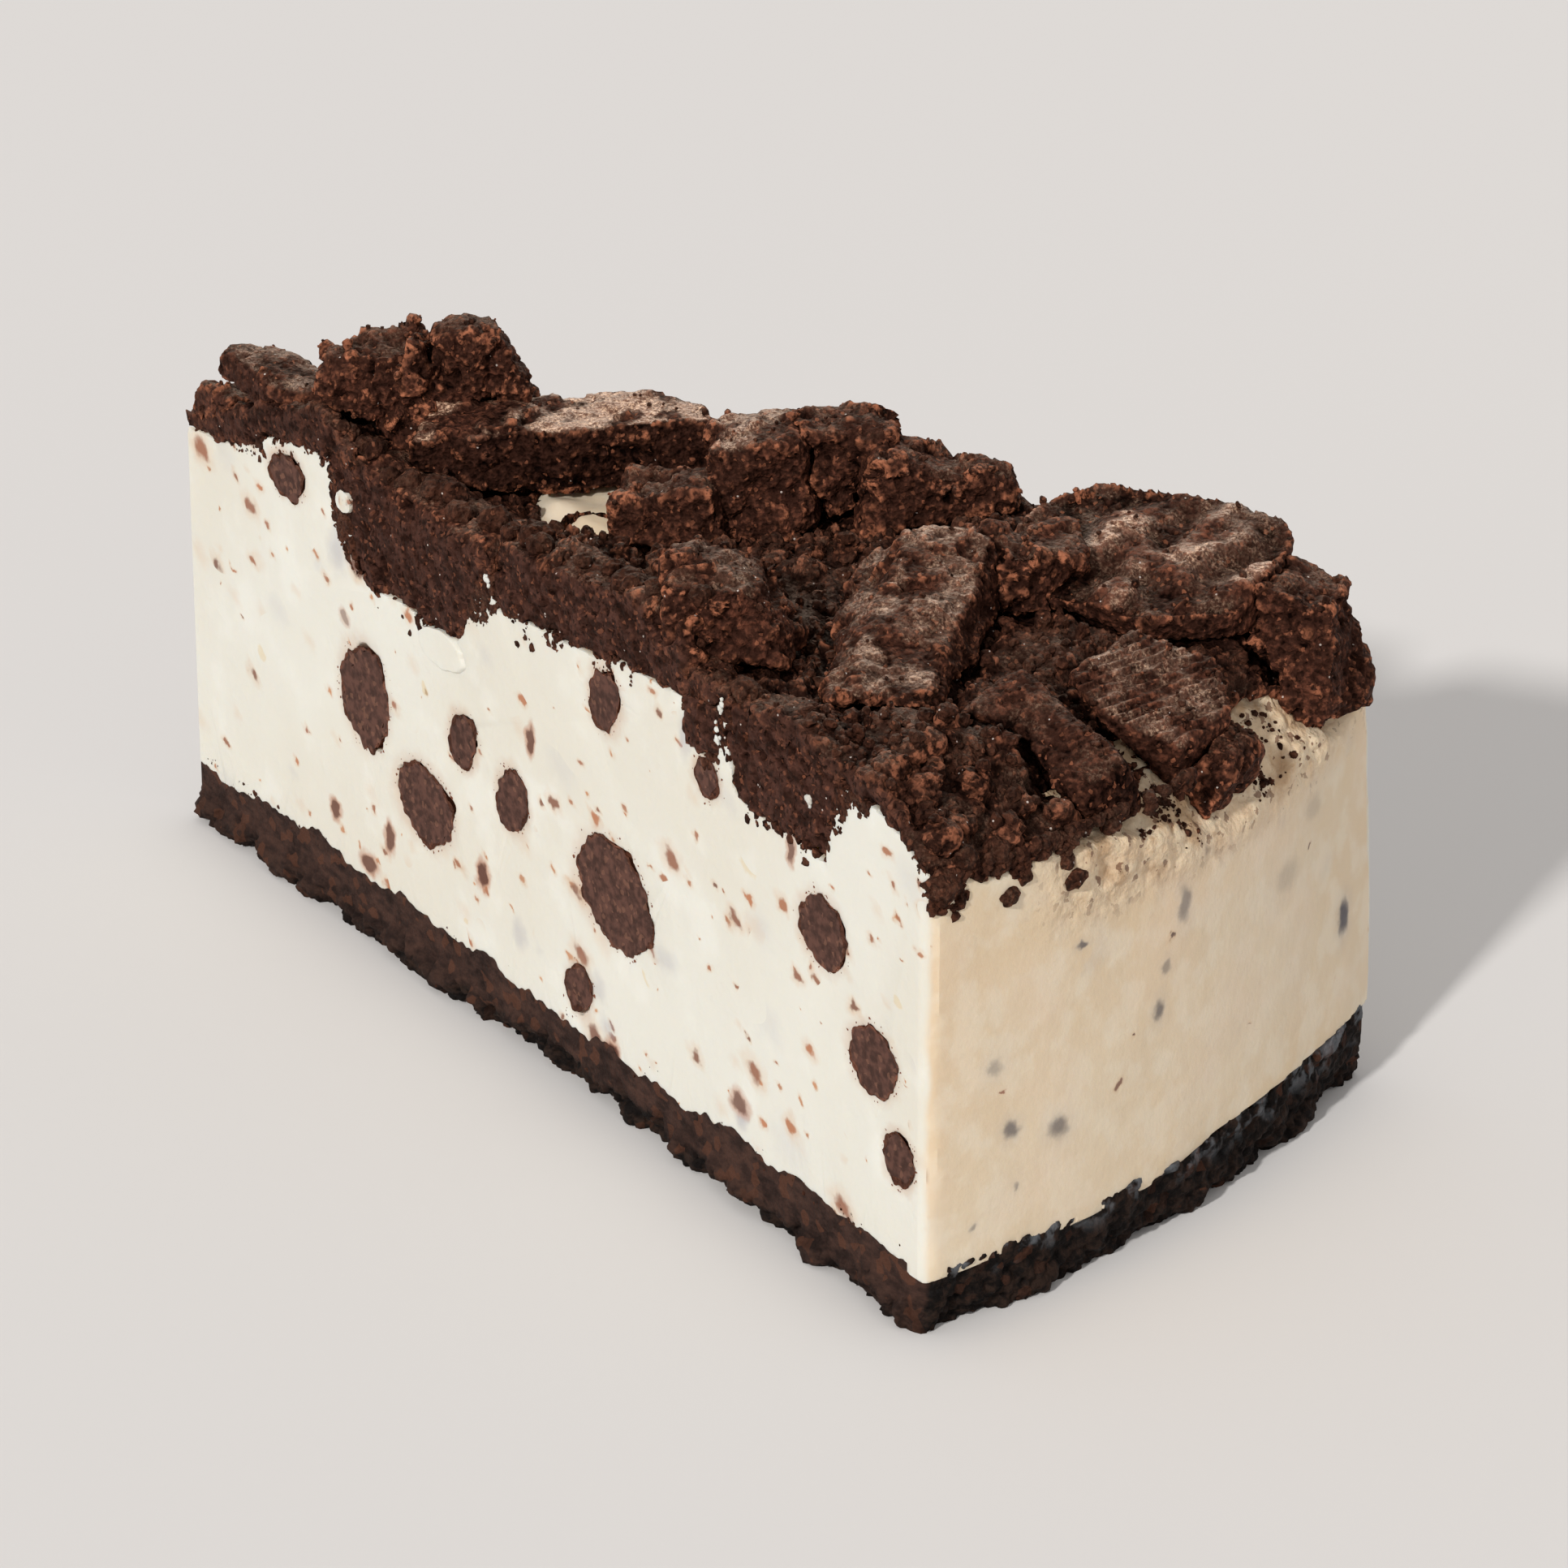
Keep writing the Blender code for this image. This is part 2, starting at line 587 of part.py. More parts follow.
def make_wedge():
    """A tall cutter of the slice's outline, which trims the pieces flush with both cuts."""
    shape = bmesh.new()
    outline = slice_outline(CAKE_RADIUS, lambda angle: CAKE_RADIUS + TRIM_PAST_RIM, tip_cut=0.0)
    outline = [point for index, point in enumerate(outline) if point.length > 1.0 or index == 0]
    face = shape.faces.new([shape.verts.new((p.x, p.y, TRIM_FLOOR)) for p in outline])
    grown = bmesh.ops.extrude_face_region(shape, geom=[face])
    for vert in (item for item in grown["geom"] if isinstance(item, bmesh.types.BMVert)):
        vert.co.z = 2.0 * CREAM_HEIGHT
    return cutter(object_of("slice_cutter", shape))


def make_bit(name, finish, wedge, place, width, height, tilt, side, seed):
    """A bit of biscuit cut flush: a lumpy ball, flattened into the filling and trimmed by the cut."""
    shape = bmesh.new()
    bmesh.ops.create_icosphere(shape, subdivisions=2, radius=1.0)
    for vert in shape.verts:
        vert.co *= 1.0 + 0.28 * noise.noise(vert.co * 1.3 + Vector((seed * 7.0, 0.0, 0.0)))
    depth = 0.5 * min(width, height)
    bmesh.ops.scale(shape, vec=(width / 2.0, depth, height / 2.0), verts=shape.verts)
    turn = Matrix.Rotation(math.radians(tilt), 4, "Y")
    face = Matrix.Rotation(-side * HALF_ANGLE, 4, "Z")
    bmesh.ops.transform(shape, matrix=Matrix.Translation(place) @ face @ turn, verts=shape.verts)
    bit = object_of(name, shape)
    fewer = bit.modifiers.new("Fewer", "DECIMATE")
    fewer.ratio = BIT_FACES_KEPT
    apply_modifiers(bit)
    boolean(bit, wedge, "INTERSECT")
    keep_largest_body(bit)
    bit.data.materials.clear()
    bit.data.materials.append(finish)
    return bit


def raw_pieces():
    """All the pieces of the topping in their places, before any cut."""
    made = {}
    for seed, (name, size, top, at, turn, rough, triangles) in enumerate(LUMPS, 1):
        block = broken_block(name, size, top, seed, rough, triangles)
        made[name] = placed(block, at, turn)
    for seed, (name, size, top, distance, height, tilt, depth, triangles) in enumerate(CUT_PIECES, 31):
        middle = near_cut(distance, height, depth)
        turn = (0.0, -tilt, -math.degrees(HALF_ANGLE))
        block = broken_block(name, size, top, seed, CUT_PIECE_ROUGHNESS, triangles)
        made[name] = placed(block, middle, turn)
    for seed, (name, corners, thickness, at, turn, rough, triangles) in enumerate(BISCUITS, 61):
        biscuit = broken_biscuit(name, corners, thickness, seed, rough, triangles)
        made[name] = placed(biscuit, at, turn)
    return made


def fit_pieces(made, finish, wedge, under):
    """Trims the pieces by the cuts, by what they lie on and by each other."""
    sunk = [name for name, *_ in CUT_PIECES]
    finished = []
    for name in ORDER:
        piece = made[name]
        boolean(piece, wedge, "INTERSECT")
        if name not in sunk:
            cut_clear_of(piece, under)
        cut_clear_of(piece, finished)
        piece.data.materials.clear()
        piece.data.materials.append(finish)
        finished.append(piece)
    return [piece for piece in finished if piece.name in sunk]


def crumb(rng, x, y, size):
    """A grain with few sides, half sunk in the bed."""
    shape = bmesh.new()
    bmesh.ops.create_icosphere(shape, subdivisions=1, radius=size / 2.0)
    for vert in shape.verts:
        vert.co *= rng.uniform(0.8, 1.25)
    place = Vector((x, y, bed_top(x, y) + 0.12 * size))
    bmesh.ops.translate(shape, vec=place, verts=shape.verts)
    return object_of("crumb", shape)


def free_of(x, y, size, pieces):
    """Whether a grain at this place stays clear of the pieces, from the box of each."""
    reach = size * 0.75 * MM
    for piece in pieces:
        xs = [vert.co.x for vert in piece.data.vertices]
        ys = [vert.co.y for vert in piece.data.vertices]
        inside_x = min(xs) - reach < x * MM < max(xs) + reach
        if inside_x and min(ys) - reach < y * MM < max(ys) + reach:
            return False
    return True


def rim_crumbs():
    for angle, reach, size in RIM_CRUMBS:
        yield reach * math.cos(math.radians(angle)), reach * math.sin(math.radians(angle)), size


def fuse_crumbs(bed, pieces):
    """Grains large enough to see from a step away, joined to the bed between the pieces."""
    rng = random.Random(CRUMB_SEED)
    group = bpy.data.collections.new("crumbs")
    bpy.context.scene.collection.children.link(group)
    spots = list(rim_crumbs())
    for _ in range(CRUMB_TRIES):
        reach = CAKE_RADIUS * math.sqrt(rng.uniform(0.004, 1.0))
        angle = rng.uniform(-math.degrees(HALF_ANGLE), math.degrees(HALF_ANGLE))
        size = rng.uniform(*CRUMB_SIZES)
        x = reach * math.cos(math.radians(angle))
        y = reach * math.sin(math.radians(angle))
        side_room = x * SIDE[1] - abs(y) * SIDE[0]
        if side_room < size * 0.7 or reach > bed_rim(angle) - 1.2:
            continue
        if not free_of(x, y, size, pieces):
            continue
        if any(math.hypot(x - sx, y - sy) < radius + size for sx, sy, radius in BARE_SPOTS):
            continue
        if any(math.hypot(x - sx, y - sy) < 0.55 * (size + other) for sx, sy, other in spots):
            continue
        spots.append((x, y, size))
        if len(spots) == CRUMBS:
            break
    for x, y, size in spots:
        grain = crumb(rng, x, y, size)
        bpy.context.scene.collection.objects.unlink(grain)
        group.objects.link(grain)
    join = bed.modifiers.new("Crumbs", "BOOLEAN")
    join.operation = "UNION"
    join.operand_type = "COLLECTION"
    join.collection = group
    apply_modifiers(bed)
    for grain in list(group.objects):
        remove(grain)
    bpy.data.collections.remove(group)
    keep_largest_body(bed)


def open_bare_spots(bed):
    for x, y, radius in BARE_SPOTS:
        shape = bmesh.new()
        matrix = Matrix.Translation((x, y, CREAM_HEIGHT))
        bmesh.ops.create_cone(shape, cap_ends=True, segments=9, radius1=radius * 0.8,
                              radius2=radius * 1.15, depth=CREAM_HEIGHT, matrix=matrix)
        for vert in shape.verts:
            spot = Vector((vert.co.x, vert.co.y, 2.0)) / 3.0
            vert.co.xy += Vector((noise.noise(spot), noise.noise(spot * 1.7))) * 0.25 * radius
        tool = cutter(object_of("bare_spot_cutter", shape))
        boolean(bed, tool, "DIFFERENCE")
        remove(tool)
    keep_largest_body(bed)


def make_bed(finish, filling, pieces):
    """The bed of crumbs, with its larger grains, from a block that the cream cuts off below."""
    outline = slice_outline(EDGE_STEP, bed_rim)
    shape = layer(outline, BED_STEP, 2.2, bed_top, CREAM_HEIGHT - BED_BLOCK_DEPTH)
    bed = object_of("crumb_bed", shape, finish)
    fuse_crumbs(bed, pieces)
    cut_clear_of(bed, [filling])
    open_bare_spots(bed)
    return bed


def main():
    for old in list(bpy.data.objects):
        bpy.data.objects.remove(old)
    cream = material("cream", CREAM_COLOUR, 0.45)
    base = material("crust", CRUST_COLOUR, 0.85)
    crumbs = material("crumbs", CRUMB_COLOUR, 0.85)
    biscuit = material("biscuit", BISCUIT_COLOUR, 0.8)
    bits = material("biscuit_bits", INCLUSION_COLOUR, 0.75)
    wedge = make_wedge()
    make_crust(base)
    filling = make_filling(cream)
    pieces = raw_pieces()
    bed = make_bed(crumbs, filling, pieces.values())
    sunk = fit_pieces(pieces, biscuit, wedge, (filling, bed))
    cut_clear_of(bed, sunk)
    inclusions = []
    for number, (distance, height, width, tall, tilt) in enumerate(NEAR_BITS, 1):
        name = f"inclusion_near_{number:02d}"
        place = near_cut(distance, height)
        inclusions.append(make_bit(name, bits, wedge, place, width, tall, tilt, 1.0, number))
    for number, (distance, height, width, tall, tilt) in enumerate(FAR_BITS, 1):
        name = f"inclusion_far_{number:02d}"
        place = far_cut(distance, height)
        inclusions.append(make_bit(name, bits, wedge, place, width, tall, tilt, -1.0, number + 20))
    cut_clear_of(filling, sunk + inclusions)
    for obj, finish in ((filling, cream), (bed, crumbs)):
        obj.data.materials.clear()
        obj.data.materials.append(finish)
    carrier = bpy.data.objects.new("slice", None)
    carrier.location.x = -CAKE_RADIUS / 2.0 * MM
    bpy.context.scene.collection.objects.link(carrier)
    for obj in bpy.data.objects:
        if obj is not carrier:
            obj.parent = carrier


main()
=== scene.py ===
"""The looks of one slice of a cookies and cream cheesecake.

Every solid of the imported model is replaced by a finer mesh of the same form: its surface is
divided evenly, roughened by facets and grains, and trimmed flush where the knife went. Loose
crumbs, smears of cream, the camera, the light and the floor are added. Lengths are in millimetres
in the slice's own frame, whose tip is at x = 0, until a mesh is made of them.
"""

import json
import math
import random

import bmesh
import bpy
import numpy as np
from mathutils import Matrix, Vector
from mathutils.bvhtree import BVHTree


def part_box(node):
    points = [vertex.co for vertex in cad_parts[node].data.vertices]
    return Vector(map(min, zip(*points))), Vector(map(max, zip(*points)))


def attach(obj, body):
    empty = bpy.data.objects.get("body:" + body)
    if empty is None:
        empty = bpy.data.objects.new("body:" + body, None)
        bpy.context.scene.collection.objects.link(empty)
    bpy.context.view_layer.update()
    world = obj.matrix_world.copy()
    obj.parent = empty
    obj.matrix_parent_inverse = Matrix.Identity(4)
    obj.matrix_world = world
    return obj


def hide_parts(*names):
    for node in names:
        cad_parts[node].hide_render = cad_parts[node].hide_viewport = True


MM = 0.001

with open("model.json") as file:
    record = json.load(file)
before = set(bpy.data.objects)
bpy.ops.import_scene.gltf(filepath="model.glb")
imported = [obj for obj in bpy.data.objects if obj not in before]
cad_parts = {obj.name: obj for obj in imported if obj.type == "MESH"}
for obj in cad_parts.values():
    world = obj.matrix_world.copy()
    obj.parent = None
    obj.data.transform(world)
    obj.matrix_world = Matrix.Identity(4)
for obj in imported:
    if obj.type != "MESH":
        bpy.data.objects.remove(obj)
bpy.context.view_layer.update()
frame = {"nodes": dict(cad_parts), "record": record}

# The slice: its radius comes from the crust, whose rim is half a radius from the origin
CAKE_RADIUS = 2.0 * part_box("crust")[1].x / MM
HALF_ANGLE = math.radians(15.0)
SIDE_COS = math.cos(HALF_ANGLE)
SIDE_SIN = math.sin(HALF_ANGLE)
SIDES = (-1.0, 1.0)
CREAM_HEIGHT = 43.3
CRUST_TOP = 6.3

# From the row's frame to the slice's frame
ROW_SHIFT = np.array([CAKE_RADIUS / 2.0, 0.0, 0.0])
UP = np.array([0.0, 0.0, 1.0])

# How far dark pieces stand proud of the cut cream, and how far all grow to close the gaps
PROUD = 0.05
ROUGH_PROUD = 0.3
GROW = 0.2

# How far the cream reaches down behind the base's ragged border
BEHIND_CRUST = 1.1

# More than any squared distance to a neighbouring cell of the noises
FAR_CELL = 9.0

# Sizes of the even faces
PIECE_VOXEL = 0.30
RELIEF_VOXELS = {"biscuit_embossed": 0.25, "biscuit_ridged": 0.20}
BED_VOXEL = 0.33
CRUST_VOXEL = 0.30
CREAM_VOXEL = 0.36
BIT_VOXEL = 0.29
CREAM_FACES_KEPT = 0.30
HIDDEN_FACES_KEPT = 0.08
CORNER_ROUNDING = 1.2
CRUST_CORNER_ROUNDING = 2.6

# Where the bed leaves the cream bare, and where it only sinks: x, y and radius
WINDOWS = ((48.0, 5.2, 3.0), (51.4, 3.9, 2.3), (53.8, 3.2, 1.5))
HOLLOWS = ((54.8, -0.9, 3.6), (50.6, 0.4, 3.2))

# Crumbs that lie on the bare cream: x, y and size
WINDOW_CRUMBS = ((48.9, 3.6, 1.1), (51.3, 3.4, 1.6), (50.0, 4.4, 0.5), (47.6, 4.6, 0.5))

# How strong crags, grains and sheen are on a piece, where they differ from the usual 1, 1 and 0.25;
# the sheen is a painted highlight in the colour of up-facing faces, with real gloss there too
PIECE_LOOKS = {
    "shard_tip": (0.45, 0.8, 0.5),
    "slab_long": (0.6, 0.8, 1.9),
    "chunk_centre": (0.75, 0.9, 0.7),
    "chunk_oblong": (0.28, 0.9, 0.25),
    "biscuit_embossed": (0.4, 0.8, 1.0),
    "biscuit_ridged": (0.25, 0.5, 0.7),
    "chunk_twin_right": (0.8, 1.0, 0.8),
    "chunk_upright": (1.1, 1.0, 0.4),
    "chunk_peak": (1.5, 1.2, 0.2),
    "chunk_peak_front": (1.4, 1.2, 0.2),
}

# Pieces cut back to a plane: a place on it and the direction out of it
TRIMS = {"chunk_peak": ((36.0, 6.1, 59.5), (0.424, 0.719, 0.550))}

# Pieces whose broken sides get painted shade, darker than their tops, that are worn round, or that
# are layered
SIDES_WITH_PAINTED_SHADE = ("slab_long", "chunk_oblong")
ROUNDED = ("chunk_oblong",)
LAYERED = ("slab_long",)

# The ribs on the flat piece: their bearing, spacing and depth
RIB_TURN = 80.0
RIB_PITCH = 1.1
RIB_DEPTH = 0.30

# In how many directions the outline of a bit is measured
DIRECTIONS = 36

# The sizes above which a grain gets a finer shape
FINER_GRAINS = (0.6, 1.5, 4.0)

# The lower border of the topping on the near cut: distance from the tip and height above the cream
CUT_BORDER = (
    (0.0, -0.1), (5.7, 0.0), (11.7, 1.2), (17.1, 3.6), (22.5, 4.9), (27.5, 5.0), (28.5, -2.0),
    (30.8, -4.8), (36.6, -5.6), (43.9, -4.2), (51.1, -3.2), (55.3, -1.4), (58.9, 2.3), (63.7, 3.3),
    (69.2, 3.8), (74.5, 3.6), (81.1, 4.7), (86.3, 5.8), (87.4, 3.6), (88.2, 1.0), (93.4, 1.0),
    (95.9, -0.3), (98.4, -1.7), (102.6, -3.0), (104.7, -0.3), (107.8, 1.4), (109.6, -1.0),
    (112.1, 0.4), (113.3, 3.2), (117.5, 5.7), (120.5, 5.0), (123.2, 3.9), (125.0, 1.1),
)

# Patches of cream over dark pieces on the near cut, given as the smears below
CREAM_PATCHES = ((47.9, -6.9, 8.6, 4.0), (30.3, 1.9, 2.6, 2.3))

# Smears of cream on the near cut: distance from the tip, height above the cream, width and height
CUT_SMEARS = (
    (93.4, 2.8, 0.9, 2.6), (94.2, 5.2, 0.6, 1.4), (107.6, 2.0, 1.0, 1.3), (55.6, 3.1, 0.8, 1.5),
    (30.4, 2.0, 2.2, 1.3),
)

# Pieces that the near cut goes through
CUT_PIECES = ("slab_cut_middle", "chunk_cut_left", "chunk_cut_right", "chunk_cut_small")

# How many loose crumbs lie on top, cling to the rim and dust the shoulder
TOP_CRUMBS = 1300
RIM_CRUMBS = 560
SHOULDER_CRUMBS = 420

# How often a place for a crumb in the topping's border is tried, as only bare cream gets one
BORDER_TRIES = 5500

# How many small crumbs the near and the far cut get at the topping's border and at the base
BORDER_CRUMBS = (260, 180)
FOOT_CRUMBS = (330, 240)

# The stretch of the near cut's upper edge with larger crumbs, and the highest place for one
RIDGE_START = 20.0
RIDGE_END = 93.0
RIDGE_TOP = 56.0

# The stretch of the rim that crumbs cling to, as bearings in degrees
RIM_START = -14.8
RIM_END = -0.5

# Camera: what it looks at, its angles, its distance and its lens on a sensor of 36 mm
LOOK_AT = (68.59, 9.74, 21.65)
CAMERA_TURN = 40.72
CAMERA_PITCH = 26.05
CAMERA_DISTANCE = 684.7
CAMERA_LENS = 167.7

# Light
KEY_FROM = (0.2, -0.98)
KEY_HEIGHT = 32.0
KEY_STRENGTH = 2.3
KEY_SOFTNESS = 4.0
SKY_COLOUR = (0.60, 0.592, 0.585)
FLOOR_COLOUR = (0.742, 0.719, 0.704)
PANEL_SIZE = (0.9, 0.5)
PANEL_POWER = 16.0


def lattice(cells, seed):
    """A random number from 0 to 1 for each cell of a grid, given its whole-number place."""
    whole = cells.astype(np.int64).astype(np.uint32)
    mixed = whole[:, 0] * np.uint32(73856093) ^ whole[:, 1] * np.uint32(19349663)
    mixed ^= whole[:, 2] * np.uint32(83492791) ^ np.uint32(seed * 747796405 % 2**32)
    for shift, factor in ((16, 2146121005), (15, 2221713035)):
        mixed = (mixed ^ (mixed >> np.uint32(shift))) * np.uint32(factor)
    mixed ^= mixed >> np.uint32(16)
    return mixed / 4294967295.0


def waves(points, size, seed):
    """Smooth noise from about -1 to 1, with lumps of about the given size."""
    spots = points / size + seed * 3.71
    base = np.floor(spots)
    offset = spots - base
    share = offset**3 * (offset * (offset * 6.0 - 15.0) + 10.0)
    total = np.zeros(len(points))
    for corner in np.ndindex(2, 2, 2):
        corner = np.array(corner)
        weight = np.prod(np.where(corner == 1, share, 1.0 - share), axis=1)
        pull = offset - corner
        slopes = [lattice(base + corner, seed * 3 + axis) - 0.5 for axis in range(3)]
        total += weight * sum(slopes[axis] * pull[:, axis] for axis in range(3))
    return 3.2 * total


def cells_round(spots):
    """For each spot its own cell of a grid, then in turn the 26 cells round it."""
    base = np.floor(spots)
    return (base + (np.array(turn) - 1) for turn in np.ndindex(3, 3, 3))


def grains(points, size, seed):
    """Packed round grains of about the given size: 1 on their tops, 0 and less in the creases."""
    spots = points / size + seed * 1.37
    nearest = np.full(len(points), FAR_CELL)
    for cell in cells_round(spots):
        place = [cell[:, axis] + lattice(cell, seed * 5 + axis) for axis in range(3)]
        apart = sum((spots[:, axis] - place[axis]) ** 2 for axis in range(3))
        nearest = np.minimum(nearest, apart)
    return 1.0 - nearest / 0.55


def facets(points, size, seed):
    """Flat tilted faces of about the given size with small steps between them, from -0.5 to 0.5."""
    spots = points / size + seed * 1.91
    nearest = np.full(len(points), FAR_CELL)
    height = np.zeros(len(points))
    for cell in cells_round(spots):
        draws = [lattice(cell, seed * 7 + part) for part in range(6)]
        arm = np.stack([spots[:, axis] - cell[:, axis] - draws[axis] for axis in range(3)], 1)
        apart = (arm**2).sum(axis=1)
        tilt = sum(arm[:, axis] * (draws[3 + axis] - 0.5) for axis in range(3))
        closer = apart < nearest
        nearest = np.where(closer, apart, nearest)
        height = np.where(closer, tilt + 0.5 * (draws[3] - 0.5), height)
    return height


def step(value, low, high):
    """0 below low, 1 above high and smooth between."""
    share = np.clip((value - low) / (high - low), 0.0, 1.0)
    return share * share * (3.0 - 2.0 * share)


def past_cut(points, side):
    """How far points stand outside a cut face: side is -1 for the near one, 1 for the far one."""
    return side * points[:, 1] * SIDE_COS - points[:, 0] * SIDE_SIN


def nearest_cut(points):
    return np.maximum(past_cut(points, -1.0), past_cut(points, 1.0))


def shift_out(points, side, amount):
    """Moves points straight out of a cut face."""
    points[:, 0] -= amount * SIDE_SIN
    points[:, 1] += amount * side * SIDE_COS


def flush(points, level):
    """Trims what stands further out of a cut face than a level."""
    for side in SIDES:
        shift_out(points, side, -np.maximum(past_cut(points, side) - level, 0.0))


def press(points, band, level):
    """Pulls what lies within a band behind a cut face up to a level on it."""
    for side in SIDES:
        past = past_cut(points, side)
        shift_out(points, side, step(past, -band, -0.4 * band) * np.maximum(level - past, 0.0))


def blend(noise, points, *parts):
    """A sum of noises of one kind, each given by its strength, its size and its seed."""
    return sum(strength * noise(points, size, seed) for strength, size, seed in parts)


def fray(points, share, seed):
    """Shifts points within the cut face, so that the outline on it turns uneven."""
    shift = share * blend(waves, points, (0.50, 2.0, seed), (0.42, 0.9, seed + 1))
    rise = share * blend(waves, points, (0.50, 1.8, seed + 2), (0.42, 0.8, seed + 3))
    points[:, 0] += shift * SIDE_COS
    points[:, 1] += shift * SIDE_SIN * np.sign(points[:, 1])
    points[:, 2] += rise


def bearing(points):
    return np.degrees(np.arctan2(points[:, 1], points[:, 0]))


def reach(points):
    return np.hypot(points[:, 0], points[:, 1])


def points_of(piece):
    """The places and normals of a mesh's points, in the slice's frame."""
    read = np.empty((2, len(piece.data.vertices) * 3), np.float32)
    piece.data.vertices.foreach_get("co", read[0])
    piece.data.vertices.foreach_get("normal", read[1])
    places, normals = read.reshape(2, -1, 3).astype(float)
    return places / MM + ROW_SHIFT, normals


def put_back(piece, points):
    """Moves the points of a mesh to places in the slice's frame."""
    moved = (points - ROW_SHIFT) * MM
    piece.data.vertices.foreach_set("co", moved.astype(np.float32).ravel())
    piece.data.update()


def new_object(name, data):
    made = bpy.data.objects.new(name, data)
    bpy.context.scene.collection.objects.link(made)
    return made


def mark(piece, name, values):
    """Keeps a number for each point, which the material reads."""
    layer = piece.data.attributes.new(name, "FLOAT", "POINT")
    layer.data.foreach_set("value", values.astype(np.float32))


def apply_modifiers(piece, crease=55.0):
    graph = bpy.context.evaluated_depsgraph_get()
    mesh = bpy.data.meshes.new_from_object(piece.evaluated_get(graph))
    old = piece.data
    piece.modifiers.clear()
    piece.data = mesh
    bpy.data.meshes.remove(old)
    piece.data.shade_smooth()
    piece.data.set_sharp_from_angle(angle=math.radians(crease))


def fine_copy(node, name, voxel):
    """A new object with the form of a solid of the model, divided into small even faces."""
    piece = new_object(name, frame["nodes"][node].data.copy())
    even = piece.modifiers.new("Even", "REMESH")
    even.mode = "VOXEL"
    even.voxel_size = voxel * MM
    apply_modifiers(piece)
    piece.data.materials.clear()
    return piece


def merge_hidden(piece, hidden):
    """Merges most faces of the points that are marked as hidden and keeps the others."""
    group = piece.vertex_groups.new(name="hidden")
    group.add(np.nonzero(hidden)[0].tolist(), 1.0, "REPLACE")
    fewer = piece.modifiers.new("Fewer", "DECIMATE")
    fewer.vertex_group = group.name
    fewer.ratio = 1.0 - (1.0 - HIDDEN_FACES_KEPT) * hidden.mean()
    apply_modifiers(piece)
    piece.vertex_groups.clear()


def smoothed(mesh, values, rounds):
    """Values of the points, each averaged with its neighbours a number of times."""
    ends = np.empty(len(mesh.edges) * 2, np.int32)
    mesh.edges.foreach_get("vertices", ends)
    ends = ends.reshape(-1, 2)
    first = np.concatenate([ends[:, 0], ends[:, 1]])
    second = np.concatenate([ends[:, 1], ends[:, 0]])
    count = np.bincount(first, minlength=len(values)).clip(1)
    for _ in range(rounds):
        columns = values[second].T
        sums = np.stack([np.bincount(first, column, len(values)) for column in columns], 1)
        values = 0.4 * values + 0.6 * sums / count[:, None]
    return values


def convexity(piece, rounds):
    """How far each point stands out of the rounded form: positive on edges, negative in hollows."""
    points, normals = points_of(piece)
    return ((points - smoothed(piece.data, points, rounds)) * normals).sum(axis=1)


